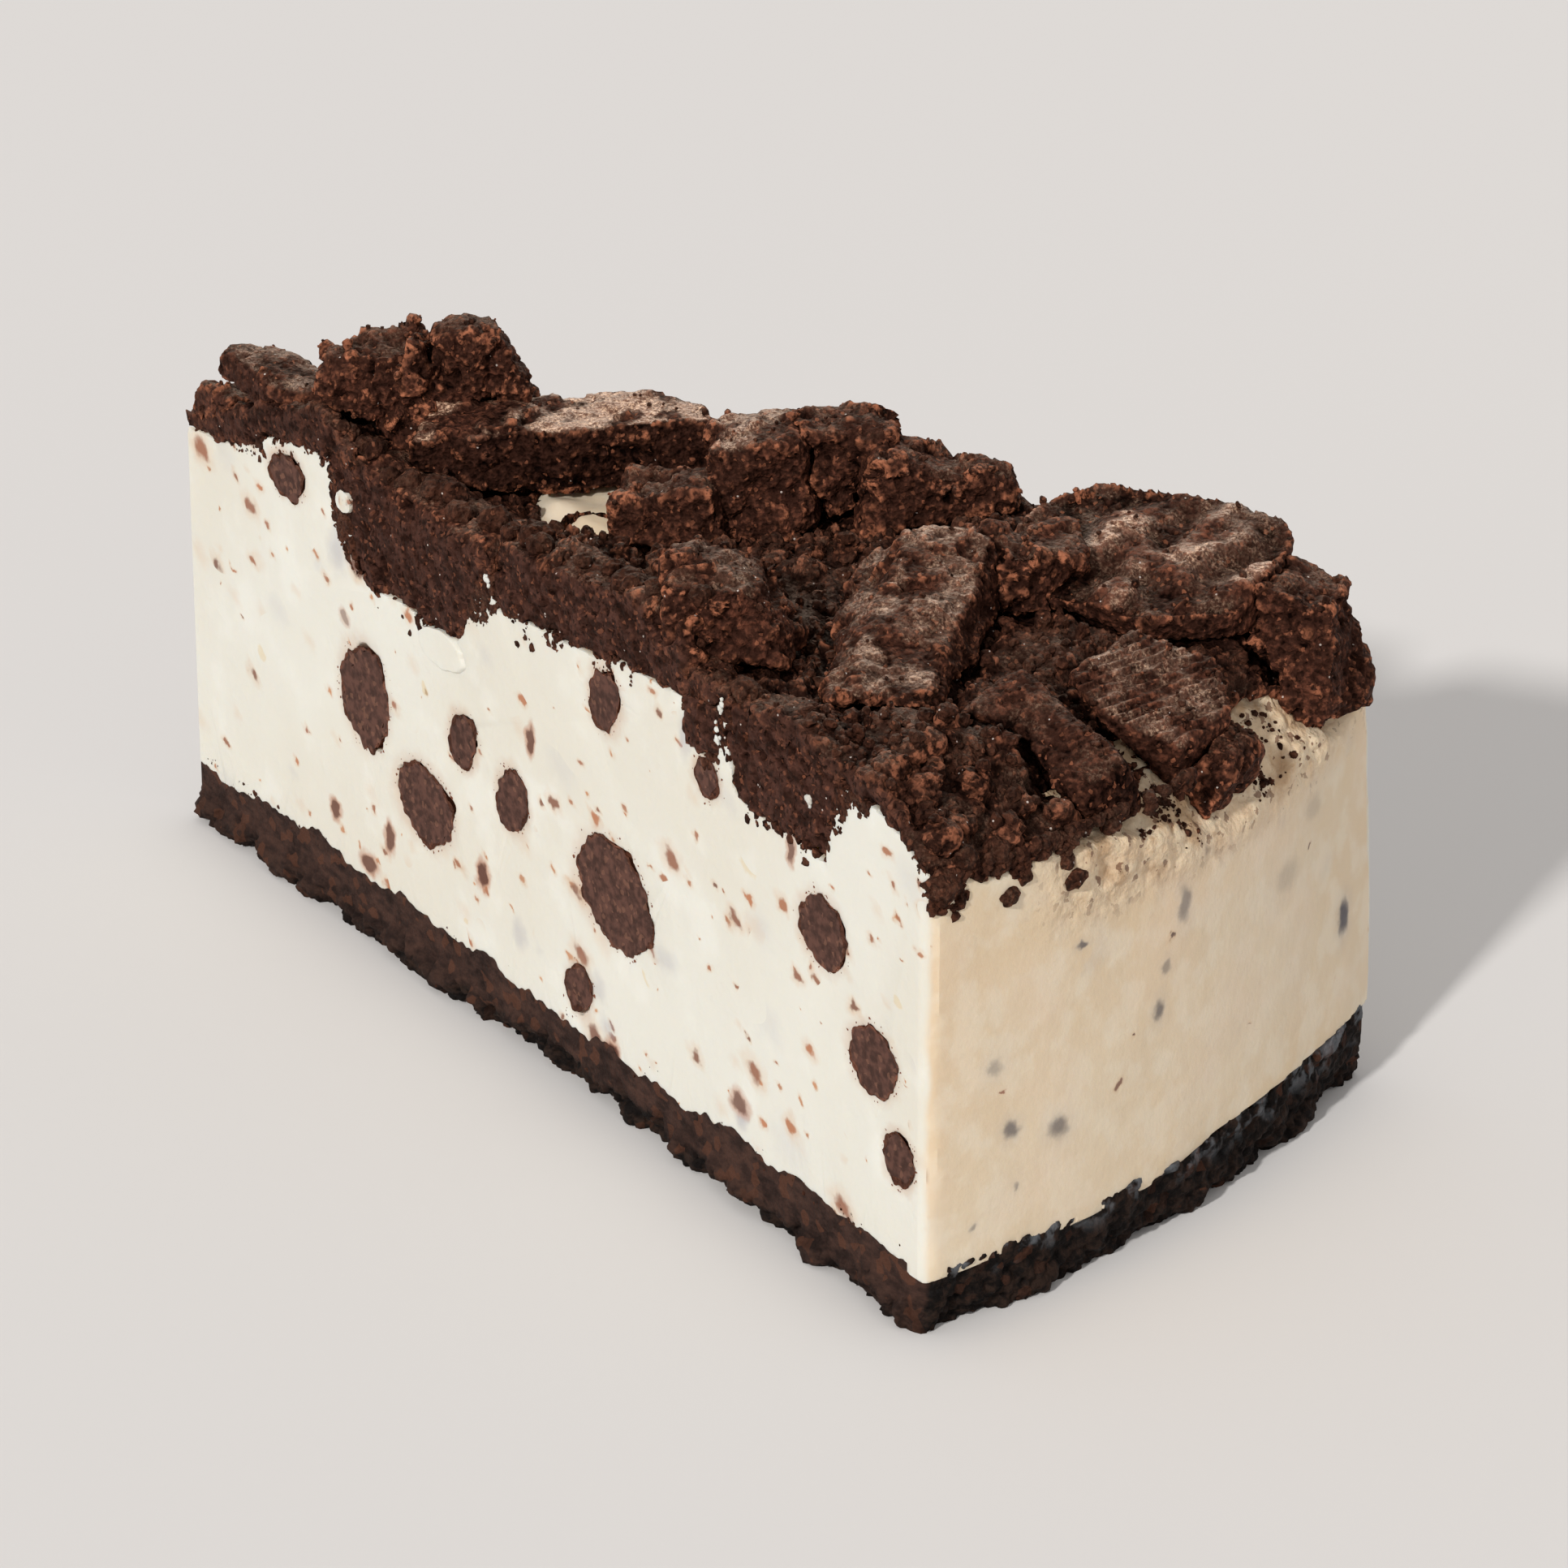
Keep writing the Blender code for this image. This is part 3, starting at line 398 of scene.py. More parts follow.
class Finish:
    """A material whose nodes are made and joined by short calls."""

    def __init__(self, name):
        self.material = bpy.data.materials.new(name)
        self.material.use_nodes = True
        self.tree = self.material.node_tree
        self.surface = self.tree.nodes["Principled BSDF"]
        self.place = self.add("ShaderNodeTexCoord").outputs["Object"]

    def feed(self, socket, value):
        """Joins a socket to another one or sets its constant, a colour without its alpha."""
        if isinstance(value, bpy.types.NodeSocket):
            self.tree.links.new(value, socket)
        else:
            socket.default_value = (*value, 1.0) if socket.type == "RGBA" else value

    def add(self, kind, values=None, **settings):
        made = self.tree.nodes.new(kind)
        for key, value in settings.items():
            setattr(made, key, value)
        for key, value in (values or {}).items():
            self.feed(made.inputs[key], value)
        return made

    def set(self, **values):
        for key, value in values.items():
            self.feed(self.surface.inputs[key.replace("_", " ")], value)

    def math(self, operation, first, second=0.0, third=0.0):
        made = self.add("ShaderNodeMath", {0: first, 1: second, 2: third}, operation=operation)
        return made.outputs[0]

    def times(self, first, second):
        return self.math("MULTIPLY", first, second)

    def vector(self, operation, first, second=(0.0, 0.0, 0.0)):
        made = self.add("ShaderNodeVectorMath", {0: first, 1: second}, operation=operation)
        return made.outputs["Value" if operation == "LENGTH" else "Vector"]

    def mark(self, name):
        return self.add("ShaderNodeAttribute", attribute_name=name).outputs["Fac"]

    def noise(self, size, detail, place=None, **more):
        """Noise with lumps of about a size in millimetres."""
        values = {"Vector": place or self.place, "Scale": 0.6 / (size * MM), "Detail": detail}
        return self.add("ShaderNodeTexNoise", {**values, **more}).outputs["Fac"]

    def drawn_noise(self, size, detail, **more):
        """Noise that a knife has drawn out along the slice."""
        drawn = {"Vector": self.place, "Scale": (0.5, 1.0, 1.0)}
        return self.noise(size, detail, self.add("ShaderNodeMapping", drawn).outputs[0], **more)

    def between(self, value, low, high, to_low=0.0, to_high=1.0):
        """Maps a value smoothly from one range to another."""
        ends = {"From Min": low, "From Max": high, "To Min": to_low, "To Max": to_high}
        values = {"Value": value, **ends}
        made = self.add("ShaderNodeMapRange", values, interpolation_type="SMOOTHSTEP")
        return made.outputs["Result"]

    def clouds(self, size, detail, low, high, to_low=0.0, to_high=1.0):
        """Noise whose range from low to high is mapped to another."""
        return self.between(self.noise(size, detail), low, high, to_low, to_high)

    def mix(self, share, first, second):
        made = self.add("ShaderNodeMix", data_type="RGBA")
        for index, value in ((0, share), (6, first), (7, second)):
            self.feed(made.inputs[index], value)
        return made.outputs[2]

    def tint(self, base, share, strength, colour):
        """Lays a colour over a base, as thick as a share times a strength."""
        return self.mix(self.times(share, strength), base, colour)

    def ramp(self, value, *stops):
        """Colours at places from 0 to 1."""
        made = self.add("ShaderNodeValToRGB", {"Fac": value})
        elements = made.color_ramp.elements
        while len(elements) < len(stops):
            elements.new(0.5)
        for element, (position, colour) in zip(elements, stops):
            element.position = position
            element.color = (*colour, 1.0)
        return made.outputs["Color"]

    def bump(self, height, depth, below=None):
        values = {"Height": height, "Distance": depth * MM, "Strength": 1.0}
        if below:
            values["Normal"] = below
        return self.add("ShaderNodeBump", values).outputs["Normal"]

    def cells(self, size, place=None):
        """Scattered cells: the distance from the middle of each and three random numbers."""
        values = {"Vector": place or self.place, "Scale": 1.0 / (size * MM)}
        dimensions = "2D" if place else "3D"
        made = self.add("ShaderNodeTexVoronoi", values, voronoi_dimensions=dimensions)
        split = self.add("ShaderNodeSeparateColor", {"Color": made.outputs["Color"]})
        return made.outputs["Distance"], *split.outputs

    def spots(self, spacing, share, radius, place, soft=0.5):
        """Spots on a flat place: how far inside one each point is, its halo and a random number."""
        apart, chosen, wide, own = self.cells(spacing, place)
        outer = self.math("MULTIPLY_ADD", wide, radius / spacing, 0.35 * radius / spacing)
        size = self.math("DIVIDE", apart, outer)
        crowd = self.clouds(9.0, 2.0, 0.38, 0.62, 0.35 * share, 1.5 * share)
        there = self.math("LESS_THAN", chosen, crowd)
        inside = self.times(self.between(size, 1.0 - soft, 1.0 + 0.4 * soft, 1.0, 0.0), there)
        halo = self.times(self.between(size, 0.8, 2.3, 1.0, 0.0), there)
        return inside, halo, own

    def shades(self, base, spacing, share, radius, place, strength, colour, soft=1.0):
        """Adds soft spots of one colour."""
        inside, _, _ = self.spots(spacing, share, radius, place, soft)
        return self.tint(base, inside, strength, colour)

    def speckle(self, base, spacing, share, radius, light, dark, place):
        """Adds specks whose colours vary from light to dark, each with a faint stain round it."""
        inside, halo, own = self.spots(spacing, share, radius, place)
        base = self.tint(base, halo, 0.32, STAIN)
        return self.tint(base, inside, 0.92, self.mix(own, light, dark))


def to_row(point):
    """A place in the slice's frame as metres in the row's frame."""
    return Vector(np.array(point) - ROW_SHIFT) * MM


# The stain that a speck leaves in the cream
STAIN = (0.60, 0.37, 0.21)

# Metres that keep the specks of the rim unlike those of the cuts, and how deep a spot reaches
RIM_PATTERN_SHIFT = 0.7
BLOT_DEPTH = 12.0

# Spots under the rim's skin: bearing, height, width, height of the spot and darkness
RIM_SPOTS = (
    (-10.7, 17.9, 1.3, 1.6, 0.75), (-8.2, 16.3, 1.8, 1.9, 0.7), (-2.5, 23.2, 1.1, 1.9, 0.75),
    (12.0, 19.2, 1.7, 2.7, 1.0), (-1.0, 32.5, 1.3, 3.2, 0.6), (-11.6, 24.6, 1.3, 1.7, 0.4),
    (-2.1, 27.2, 0.9, 1.2, 0.5), (-7.0, 33.2, 1.1, 0.7, 0.8), (6.7, 28.4, 3.2, 2.6, 0.22),
    (0.5, 36.5, 0.9, 1.1, 0.7), (-12.6, 9.5, 0.6, 0.8, 0.5), (-10.4, 12.0, 0.5, 0.8, 0.5),
    (9.0, 33.0, 2.8, 2.2, 0.2),
)

# Small bits on the near cut: distance from the tip, height, width, height and darkness
FACE_BITS = (
    (75.6, 6.6, 2.4, 2.2, 1.0), (53.7, 15.7, 1.9, 3.0, 1.0), (33.1, 8.3, 3.0, 2.0, 0.9),
    (27.0, 11.6, 1.6, 2.0, 0.9), (96.5, 10.7, 2.6, 2.0, 0.8), (37.0, 12.6, 1.5, 2.9, 0.9),
    (62.4, 33.0, 1.1, 3.0, 0.9), (104.6, 39.4, 0.9, 2.9, 0.8), (29.6, 33.0, 1.5, 1.4, 0.5),
)

# Soft grey shades on the near cut, where a bit lies just under the surface
FACE_GHOSTS = (
    (28.8, 39.5, 3.2, 4.5, 0.5), (60.0, 12.0, 2.4, 3.2, 0.4), (73.6, 12.4, 2.4, 2.6, 0.35),
    (84.6, 20.0, 4.0, 2.4, 0.35), (97.0, 9.4, 2.0, 2.6, 0.6), (75.0, 9.0, 2.4, 2.0, 0.4),
    (107.8, 44.0, 4.2, 2.0, 0.4), (88.0, 43.6, 1.6, 4.0, 0.5),
)


def cream_material():
    """Cream: whiter on the cuts with smeared specks, yellower on the rim with soft grey spots."""
    look = Finish("cream")
    slice_place = look.vector("ADD", look.place, (CAKE_RADIUS / 2.0 * MM, 0.0, 0.0))
    x, y, z = look.add("ShaderNodeSeparateXYZ", {0: slice_place}).outputs
    across = look.times(look.math("ABSOLUTE", y), SIDE_COS)
    depth = look.math("MULTIPLY_ADD", x, -SIDE_SIN, across)
    wavy = look.math("MULTIPLY_ADD", look.noise(3.0, 2.0), -0.7 * MM, depth)
    skin = look.between(wavy, -1.2 * MM, -0.5 * MM, 1.0, 0.0)

    # A flat place: along the cut and upwards, or round the rim and upwards
    square = look.math("ADD", look.times(x, x), look.times(y, y))
    along_cut = look.times(look.math("POWER", square, 0.5), look.math("SIGN", y))
    round_rim = look.math("SUBTRACT", look.math("ADD", y, RIM_PATTERN_SHIFT), along_cut)
    on_rim = look.math("GREATER_THAN", skin, 0.5)
    flat = look.math("MULTIPLY_ADD", round_rim, on_rim, along_cut)
    leaning = look.math("MULTIPLY_ADD", z, -0.25, look.times(flat, 0.72))
    tall = look.add("ShaderNodeCombineXYZ", {0: leaning, 1: look.times(z, 0.85)}).outputs[0]
    bent = look.add("ShaderNodeTexNoise", {"Vector": look.place, "Scale": 700.0, "Detail": 3.0})
    shift = look.vector("SUBTRACT", bent.outputs["Color"], (0.5, 0.5, 0.5))
    wobble = look.vector("MULTIPLY", shift, (1.5 * MM, 1.5 * MM, 1.5 * MM))
    tall = look.vector("ADD", tall, wobble)
    uneven = look.vector("ADD", look.place, wobble)

    def blot(point, width, height, soft, on_rim=False):
        """How far inside an uneven oval spot a place is, whatever its depth under the surface."""
        away = look.vector("SUBTRACT", uneven, to_row(point))
        flat = (BLOT_DEPTH, width, height) if on_rim else (width, BLOT_DEPTH, height)
        size = look.vector("MULTIPLY", away, tuple(2.0 / (length * MM) for length in flat))
        size = look.vector("LENGTH", size)
        return look.between(size, 1.0 - soft, 1.0 + 0.7 * soft, 1.0, 0.0)

    broad = look.noise(16.0, 2.0)
    cut = look.mix(look.between(broad, 0.35, 0.65), (0.680, 0.650, 0.565), (0.705, 0.690, 0.620))
    cut = look.mix(look.clouds(4.0, 4.0, 0.52, 0.70, 0.0, 0.6), cut, (0.745, 0.735, 0.670))
    cut = look.shades(cut, 10.0, 0.35, 1.8, tall, 0.20, (0.42, 0.41, 0.45))
    cut = look.shades(cut, 5.0, 0.5, 0.9, tall, 0.22, STAIN)
    cut = look.speckle(cut, 2.3, 0.16, 0.24, (0.55, 0.26, 0.12), (0.30, 0.12, 0.07), tall)
    cut = look.speckle(cut, 3.6, 0.24, 0.42, (0.46, 0.17, 0.07), (0.16, 0.065, 0.04), tall)
    cut = look.speckle(cut, 7.0, 0.26, 0.75, (0.32, 0.12, 0.06), (0.13, 0.055, 0.038), tall)
    cut = look.shades(cut, 8.0, 0.16, 0.8, tall, 0.5, (0.66, 0.52, 0.30), 0.3)
    for node in frame["nodes"]:
        if node.startswith("inclusion_near"):
            low, high = (np.array(corner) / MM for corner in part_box(node))
            width = (high[0] - low[0]) / SIDE_COS
            middle = (low + high) / 2.0 + ROW_SHIFT
            around = blot(middle, width + 1.6, high[2] - low[2] + 1.8, 0.3)
            cut = look.tint(cut, around, 0.5, (0.52, 0.33, 0.22))
    for distance, height, width, tallness, dark in FACE_GHOSTS:
        inside = blot(in_plane(distance, height, -1.0), width, tallness, 0.8)
        cut = look.tint(cut, inside, dark, (0.38, 0.37, 0.41))
    for distance, height, width, tallness, dark in FACE_BITS:
        point = in_plane(distance, height, -1.0)
        around = blot(point, 1.2 * width + 0.4, 1.2 * tallness + 0.4, 0.35)
        cut = look.tint(cut, around, 0.75 * dark, (0.43, 0.18, 0.09))
        inside = blot(point, 0.95 * width, 0.95 * tallness, 0.25)
        cut = look.tint(cut, inside, dark, (0.115, 0.042, 0.025))

    rim = look.mix(look.between(broad, 0.3, 0.7), (0.72, 0.560, 0.375), (0.755, 0.630, 0.465))
    rim = look.mix(look.clouds(2.2, 5.0, 0.42, 0.62, 0.0, 0.6), rim, (0.80, 0.700, 0.550))
    rim = look.mix(look.clouds(9.0, 3.0, 0.42, 0.72, 0.0, 0.55), rim, (0.76, 0.59, 0.43))
    rim = look.shades(rim, 9.0, 0.32, 1.5, tall, 0.14, (0.36, 0.34, 0.36))
    rim = look.speckle(rim, 6.0, 0.22, 0.38, (0.40, 0.18, 0.11), (0.12, 0.07, 0.06), tall)
    for angle, height, width, tallness, dark in RIM_SPOTS:
        point = on_circle(CAKE_RADIUS, math.radians(angle), height)
        around = blot(point, 2.2 * width, 2.0 * tallness, 0.8, True)
        rim = look.tint(rim, around, 0.30 * dark, (0.40, 0.38, 0.38))
        inside = blot(point, 1.25 * width, 1.15 * tallness, 0.6, True)
        rim = look.tint(rim, inside, dark, (0.085, 0.075, 0.085))

    curd = look.mark("curd")
    rim = look.tint(rim, curd, 0.75, (0.66, 0.48, 0.31))
    crumbly = look.times(curd, look.clouds(1.4, 4.0, 0.40, 0.60))
    rim = look.tint(rim, crumbly, 0.7, (0.76, 0.62, 0.44))
    rim = look.tint(rim, curd, look.clouds(2.2, 4.0, 0.48, 0.62, 0.0, 0.7), (0.46, 0.28, 0.145))
    dusty = look.times(curd, look.math("GREATER_THAN", look.noise(0.7, 3.0), 0.62))
    rim = look.tint(rim, dusty, 0.8, (0.17, 0.075, 0.04))

    lumps = look.bump(look.noise(2.4, 3.0), 0.13)
    fine_lumps = look.bump(look.noise(0.45, 4.0), 0.05, lumps)
    curdled = look.bump(look.times(curd, look.noise(0.9, 4.0)), 0.7, fine_lumps)
    roughness = look.clouds(2.0, 3.0, 0.3, 0.7, 0.42, 0.6)
    look.set(Base_Color=look.mix(skin, cut, rim), Roughness=roughness, Normal=curdled)
    look.set(Subsurface_Weight=0.22, Subsurface_Scale=2.0 * MM, Specular_IOR_Level=0.28)
    look.set(Subsurface_Radius=(1.0, 0.72, 0.45))
    return look.material


def biscuit_material(name, crease_shade, body, grain, red_tint, glint_speck_share, painted_sheen_strength):
    """Dark biscuit: painted shade in creases and pores, brown body, red specks, painted red light
    on edges, painted pale sheen and glints on some tops.
    """
    look = Finish(name)
    rise, rim, smooth, top = (look.mark(key) for key in ("rise", "edge", "cut", "top"))
    fine = look.between(look.noise(0.30, 5.0, Roughness=0.6), 0.33, 0.67)
    broad = look.clouds(3.0, 3.0, 0.35, 0.65, -0.06, 0.06)
    # The tone follows the rise mark besides random noise: low grains and creases turn towards the
    # near-black crease shade and grain tops lighter, painted shade and light
    tone = look.math("MULTIPLY_ADD", fine, 0.26, look.math("MULTIPLY_ADD", rise, 0.64, broad))
    dim = tuple(0.45 * a + 0.55 * b for a, b in zip(crease_shade, body))
    colour = look.ramp(tone, (0.12, crease_shade), (0.30, dim), (0.52, body), (0.80, grain))
    # Painted light: convex edges found by the edge mark are tinted red-brown as if lit; the same
    # red tint also colours random specks
    painted_edge_light = look.times(look.between(rim, 0.08, 0.42), look.clouds(0.45, 4.0, 0.43, 0.57))
    colour = look.tint(colour, painted_edge_light, 0.85, red_tint)
    _, chance, shade, _ = look.cells(0.34)
    speck = look.math("LESS_THAN", chance, 0.07)
    colour = look.tint(colour, speck, look.between(shade, 0.1, 1.0, 0.05, 0.45), red_tint)
    # Random dark cells: painted shade of pores, also on the cut faces below
    painted_pore_shade = look.math("GREATER_THAN", chance, 0.86)
    colour = look.tint(colour, painted_pore_shade, 0.5, crease_shade)

    sliced = look.ramp(look.between(look.drawn_noise(0.7, 5.0), 0.35, 0.65),
                       (0.0, (0.016, 0.0070, 0.0052)), (0.4, (0.043, 0.0185, 0.0138)),
                       (1.0, (0.078, 0.033, 0.024)))
    sliced = look.tint(sliced, speck, 0.6, (0.17, 0.062, 0.035))
    sliced = look.tint(sliced, painted_pore_shade, 0.7, (0.008, 0.004, 0.003))
    colour = look.tint(colour, smooth, look.between(tone, 0.2, 0.6, 0.25, 0.8), sliced)

    # Painted sheen: on patches of up-facing faces picked by the top mark, a paler haze and pale
    # glints are painted into the colour; the same patches also get real gloss below
    patch = look.times(top, look.clouds(2.4, 4.0, 0.42, 0.59))
    colour = look.tint(colour, patch, 0.42, (0.150, 0.064, 0.040))
    painted_sheen_glint = look.between(look.noise(0.18, 5.0, Roughness=0.7), 0.45, 0.66)
    streak = look.clouds(0.9, 4.0, 0.38, 0.60, 0.15, 1.0)
    sheen = look.times(look.times(patch, painted_sheen_glint), streak)
    colour = look.tint(colour, sheen, painted_sheen_strength, (0.62, 0.40, 0.27))
    # Small pale specks: sugar grains with a painted glint
    apart, lucky, _, _ = look.cells(0.6)
    small = look.math("LESS_THAN", apart, 0.17)
    painted_glint_specks = look.times(look.math("LESS_THAN", lucky, glint_speck_share), small)
    colour = look.tint(colour, painted_glint_specks, 0.8, (0.60, 0.52, 0.47))

    pitted = look.bump(look.cells(0.40)[0], 0.16, look.bump(look.noise(0.30, 5.0), 0.26))
    sheen_level = look.between(patch, 0.0, 1.0, 0.0, 0.36)
    sheen_level = look.math("ADD", sheen_level, look.between(tone, 0.2, 0.6, 0.015, 0.075))
    matt = look.between(patch, 0.0, 1.0, 0.70, 0.42)
    look.set(Base_Color=colour, Roughness=matt, Normal=pitted, Specular_IOR_Level=sheen_level)
    look.set(Specular_Tint=(1.0, 0.74, 0.56))
    return look.material


def crust_material():
    """The base: brown where it is cut, near black on the rim with smears of cream at its top."""
    look = Finish("crust")
    rise, smooth = look.mark("rise"), look.mark("cut")
    fine = look.between(look.drawn_noise(0.7, 5.0, Roughness=0.65), 0.33, 0.67)
    # The tone follows the rise mark as well: darker on low grains, painted shade in the creases
    tone = look.math("MULTIPLY_ADD", fine, 0.5, look.times(rise, 0.5))
    rim = look.ramp(tone, (0.2, (0.0018, 0.0013, 0.0013)), (0.5, (0.0075, 0.0052, 0.0045)),
                    (0.8, (0.026, 0.015, 0.011)))
    _, chance, shade, _ = look.cells(1.1)
    crumb = look.math("LESS_THAN", chance, 0.10)
    rim = look.tint(rim, crumb, look.between(shade, 0.1, 1.0, 0.2, 0.8), (0.060, 0.024, 0.014))
    cut = look.ramp(tone, (0.15, (0.010, 0.0055, 0.0042)), (0.45, (0.031, 0.0165, 0.0130)),
                    (0.85, (0.060, 0.030, 0.022)))
    cut = look.tint(cut, look.math("LESS_THAN", chance, 0.15), 0.6, (0.095, 0.038, 0.022))
    height = look.add("ShaderNodeSeparateXYZ", {0: look.place}).outputs[2]
    high = look.between(height, (CRUST_TOP - 2.6) * MM, (CRUST_TOP + 0.6) * MM)
    smear = look.times(high, look.clouds(1.3, 5.0, 0.48, 0.60))
    smear = look.times(smear, look.math("SUBTRACT", 1.0, smooth))
    colour = look.tint(look.mix(smooth, rim, cut), smear, 0.5, (0.20, 0.215, 0.235))
    pitted = look.bump(look.cells(0.5)[0], 0.12, look.bump(look.noise(0.6, 5.0), 0.30))
    look.set(Base_Color=colour, Normal=pitted, Roughness=0.7, Specular_IOR_Level=0.07)
    return look.material


def bit_material():
    """Bits of biscuit cut flush with the cream: plain brown with a soft reddish border."""
    look = Finish("biscuit_bits")
    colour = look.ramp(look.clouds(0.5, 5.0, 0.35, 0.65), (0.0, (0.050, 0.024, 0.018)),
                       (0.5, (0.078, 0.037, 0.028)), (1.0, (0.108, 0.050, 0.037)))
    edge = look.math("MULTIPLY_ADD", look.noise(1.0, 3.0), 0.5, look.mark("edge"))
    colour = look.mix(look.between(edge, 0.35, 0.95, 0.0, 0.85), colour, (0.19, 0.070, 0.040))
    speck = look.math("LESS_THAN", look.cells(0.45)[1], 0.10)
    colour = look.tint(colour, speck, 0.45, (0.21, 0.10, 0.065))
    granular = look.bump(look.noise(0.4, 4.0), 0.10)
    look.set(Base_Color=colour, Normal=granular, Roughness=0.7, Specular_IOR_Level=0.1)
    return look.material


def dress(piece, material, slot, *nodes):
    """Gives a piece its material, its place on the model and the solids that it stands for."""
    piece.data.materials.clear()
    piece.data.materials.append(material)
    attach(piece, "root")
    if nodes:
        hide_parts(*nodes)


def curd_share(points):
    """Where the cream is curdled: the shoulder above the rim, away from the near corner."""
    turn, height = bearing(points), points[:, 2]
    window = step(turn, -11.0, -6.0) * (1.0 - 0.6 * step(turn, 10.0, 13.0))
    window = window * step(height, CREAM_HEIGHT - 10.0, CREAM_HEIGHT - 4.5)
    return window * step(reach(points), 111.0, 117.0)


def even_rim(points, normals):
    """Replaces the flats of the rim with one smooth curve fitted through them."""
    out = reach(points)
    outward = (points[:, :2] * normals[:, :2]).sum(axis=1) / out
    outside = step(out, CAKE_RADIUS - 2.6, CAKE_RADIUS - 1.8)
    fitted = (outward > 0.9) & (outside == 1.0) & (points[:, 2] < CREAM_HEIGHT - 6.0)
    turn, rise = bearing(points) / 15.0, points[:, 2] / CREAM_HEIGHT
    terms = np.stack([turn**i * rise**j for i in range(7) for j in range(4)], 1)
    curve = np.linalg.lstsq(terms[fitted], out[fitted], rcond=None)[0]
    share = step(outward, 0.75, 0.95) * outside
    share *= 1.0 - step(points[:, 2], CREAM_HEIGHT - 9.0, CREAM_HEIGHT - 6.0)
    points[:, :2] *= (1.0 + share * (terms @ curve / out - 1.0))[:, None]


def soften_corners(points, radius):
    """Rounds the upright corners between the cuts and the rim."""
    for side in SIDES:
        out = reach(points)
        from_cut = np.maximum(radius + past_cut(points, side), 0.0)
        from_rim = np.maximum(radius - (CAKE_RADIUS - out), 0.0)
        over = np.hypot(from_cut, from_rim)
        both = (from_cut > 0.0) & (from_rim > 0.0) & (over > radius)
        pull = np.where(both, 1.0 - radius / np.maximum(over, 1e-6), 0.0)
        radial = points[:, :2] / out[:, None]
        points[:, 0] += pull * (from_cut * SIDE_SIN - from_rim * radial[:, 0])
        points[:, 1] -= pull * (from_cut * side * SIDE_COS + from_rim * radial[:, 1])


def make_filling(material):
    """The cream, curdled on its shoulder and with a mound in each window of the bed."""
    piece = fine_copy("filling", "cream_filling", CREAM_VOXEL)
    points, normals = points_of(piece)
    even_rim(points, normals)
    away_from_cut = step(-nearest_cut(points), 0.4, 1.2)
    swell = blend(waves, points, (0.14, 9.0, 1), (0.03, 2.5, 2))
    lumps = blend(grains, points, (0.28, 1.7, 3), (0.22, 0.95, 4))
    lumps += 0.55 * waves(points, 3.4, 5)
    push = 0.12 + away_from_cut * (swell + curd_share(points) * (lumps - 0.35))
    points += normals * push[:, None]
    low = 1.0 - step(points[:, 2], CRUST_TOP + 0.2, CRUST_TOP + 1.2)
    points[:, 2] -= BEHIND_CRUST * low
    mound = (0.9 + 0.35 * waves(points, 2.6, 6)) * bareness(points, WINDOWS)
    mound = mound * step(points[:, 2], 41.0, 42.5)
    points[:, 2] += mound * step(normals[:, 2], 0.3, 0.8)
    soften_corners(points, CORNER_ROUNDING)
    flush(points, 0.0)
    put_back(piece, points)
    fewer = piece.modifiers.new("Fewer", "DECIMATE")
    fewer.ratio = CREAM_FACES_KEPT
    apply_modifiers(piece, 26.0)
    mark(piece, "curd", curd_share(points_of(piece)[0]))
    dress(piece, material, "cream", "filling")
    return piece


def make_crust(material):
    """The base, with a ragged upper border and a crumbly lower edge."""
    piece = fine_copy("crust", "crumb_base", CRUST_VOXEL)
    points, _ = points_of(piece)
    merge_hidden(piece, (nearest_cut(points) < -2.2) & (reach(points) < CAKE_RADIUS - 3.2))
    points, normals = points_of(piece)
    cut = step(nearest_cut(points), -0.7, -0.3)
    low = 1.0 - step(points[:, 2] + 0.8 * waves(points, 5.0, 17), 1.6, 4.2)
    high = step(points[:, 2], 3.4, CRUST_TOP - 0.2)
    rough = blend(grains, points, (0.34, 1.5, 11), (0.26, 0.8, 12))
    rough += 0.6 * waves(points, 4.2, 13)
    strength = (1.0 - 0.6 * cut * (1.0 - low)) * (1.0 + 0.8 * low)
    push = (rough - 0.25) * strength + 0.5 * GROW + 0.75 * cut * low
    points += normals * push[:, None]
    press(points, 0.6, PROUD)
    ragged = blend(waves, points, (1.25, 9.0, 14), (0.75, 3.2, 15), (0.45, 1.1, 16))
    points[:, 2] += high * (0.4 + 0.6 * cut) * np.clip(ragged + 0.35, -0.8, 1.9)
    soften_corners(points, CRUST_CORNER_ROUNDING)
    flush(points, PROUD + 0.95 * low)
    points[:, 2] = np.maximum(points[:, 2], 0.0)
    put_back(piece, points)
    mark(piece, "rise", 0.5 + 0.5 * rough)
    mark(piece, "cut", cut * (1.0 - 0.5 * low))
    dress(piece, material, "crust", "crust")


def finish_dark(piece, points, rise, cut, top, material, slot, *nodes):
    """Puts the points of a dark piece back and keeps what its material reads, including the marks
    from which it paints shade, sheen and edge light.
    """
    flush(points, ROUGH_PROUD)
    put_back(piece, points)
    mark(piece, "rise", np.clip(rise, 0.0, 1.0))
    mark(piece, "cut", cut)
    mark(piece, "top", top)
    mark(piece, "edge", np.clip(convexity(piece, 12), 0.0, 1.0))
    dress(piece, material, slot, *nodes)


def apart_from(points, tree, furthest):
    """How far each point is from the faces of a search tree, up to a furthest distance."""
    found = (tree.find_nearest(Vector(point), furthest)[3] for point in points.tolist())
    return np.array([furthest if distance is None else distance for distance in found])


def bareness(points, circles):
    """1 within circles, given by x, y and radius, falling to 0 round them."""
    away = [np.hypot(points[:, 0] - x, points[:, 1] - y) - radius for x, y, radius in circles]
    return 1.0 - step(np.minimum.reduce(away), 0.0, 2.0)


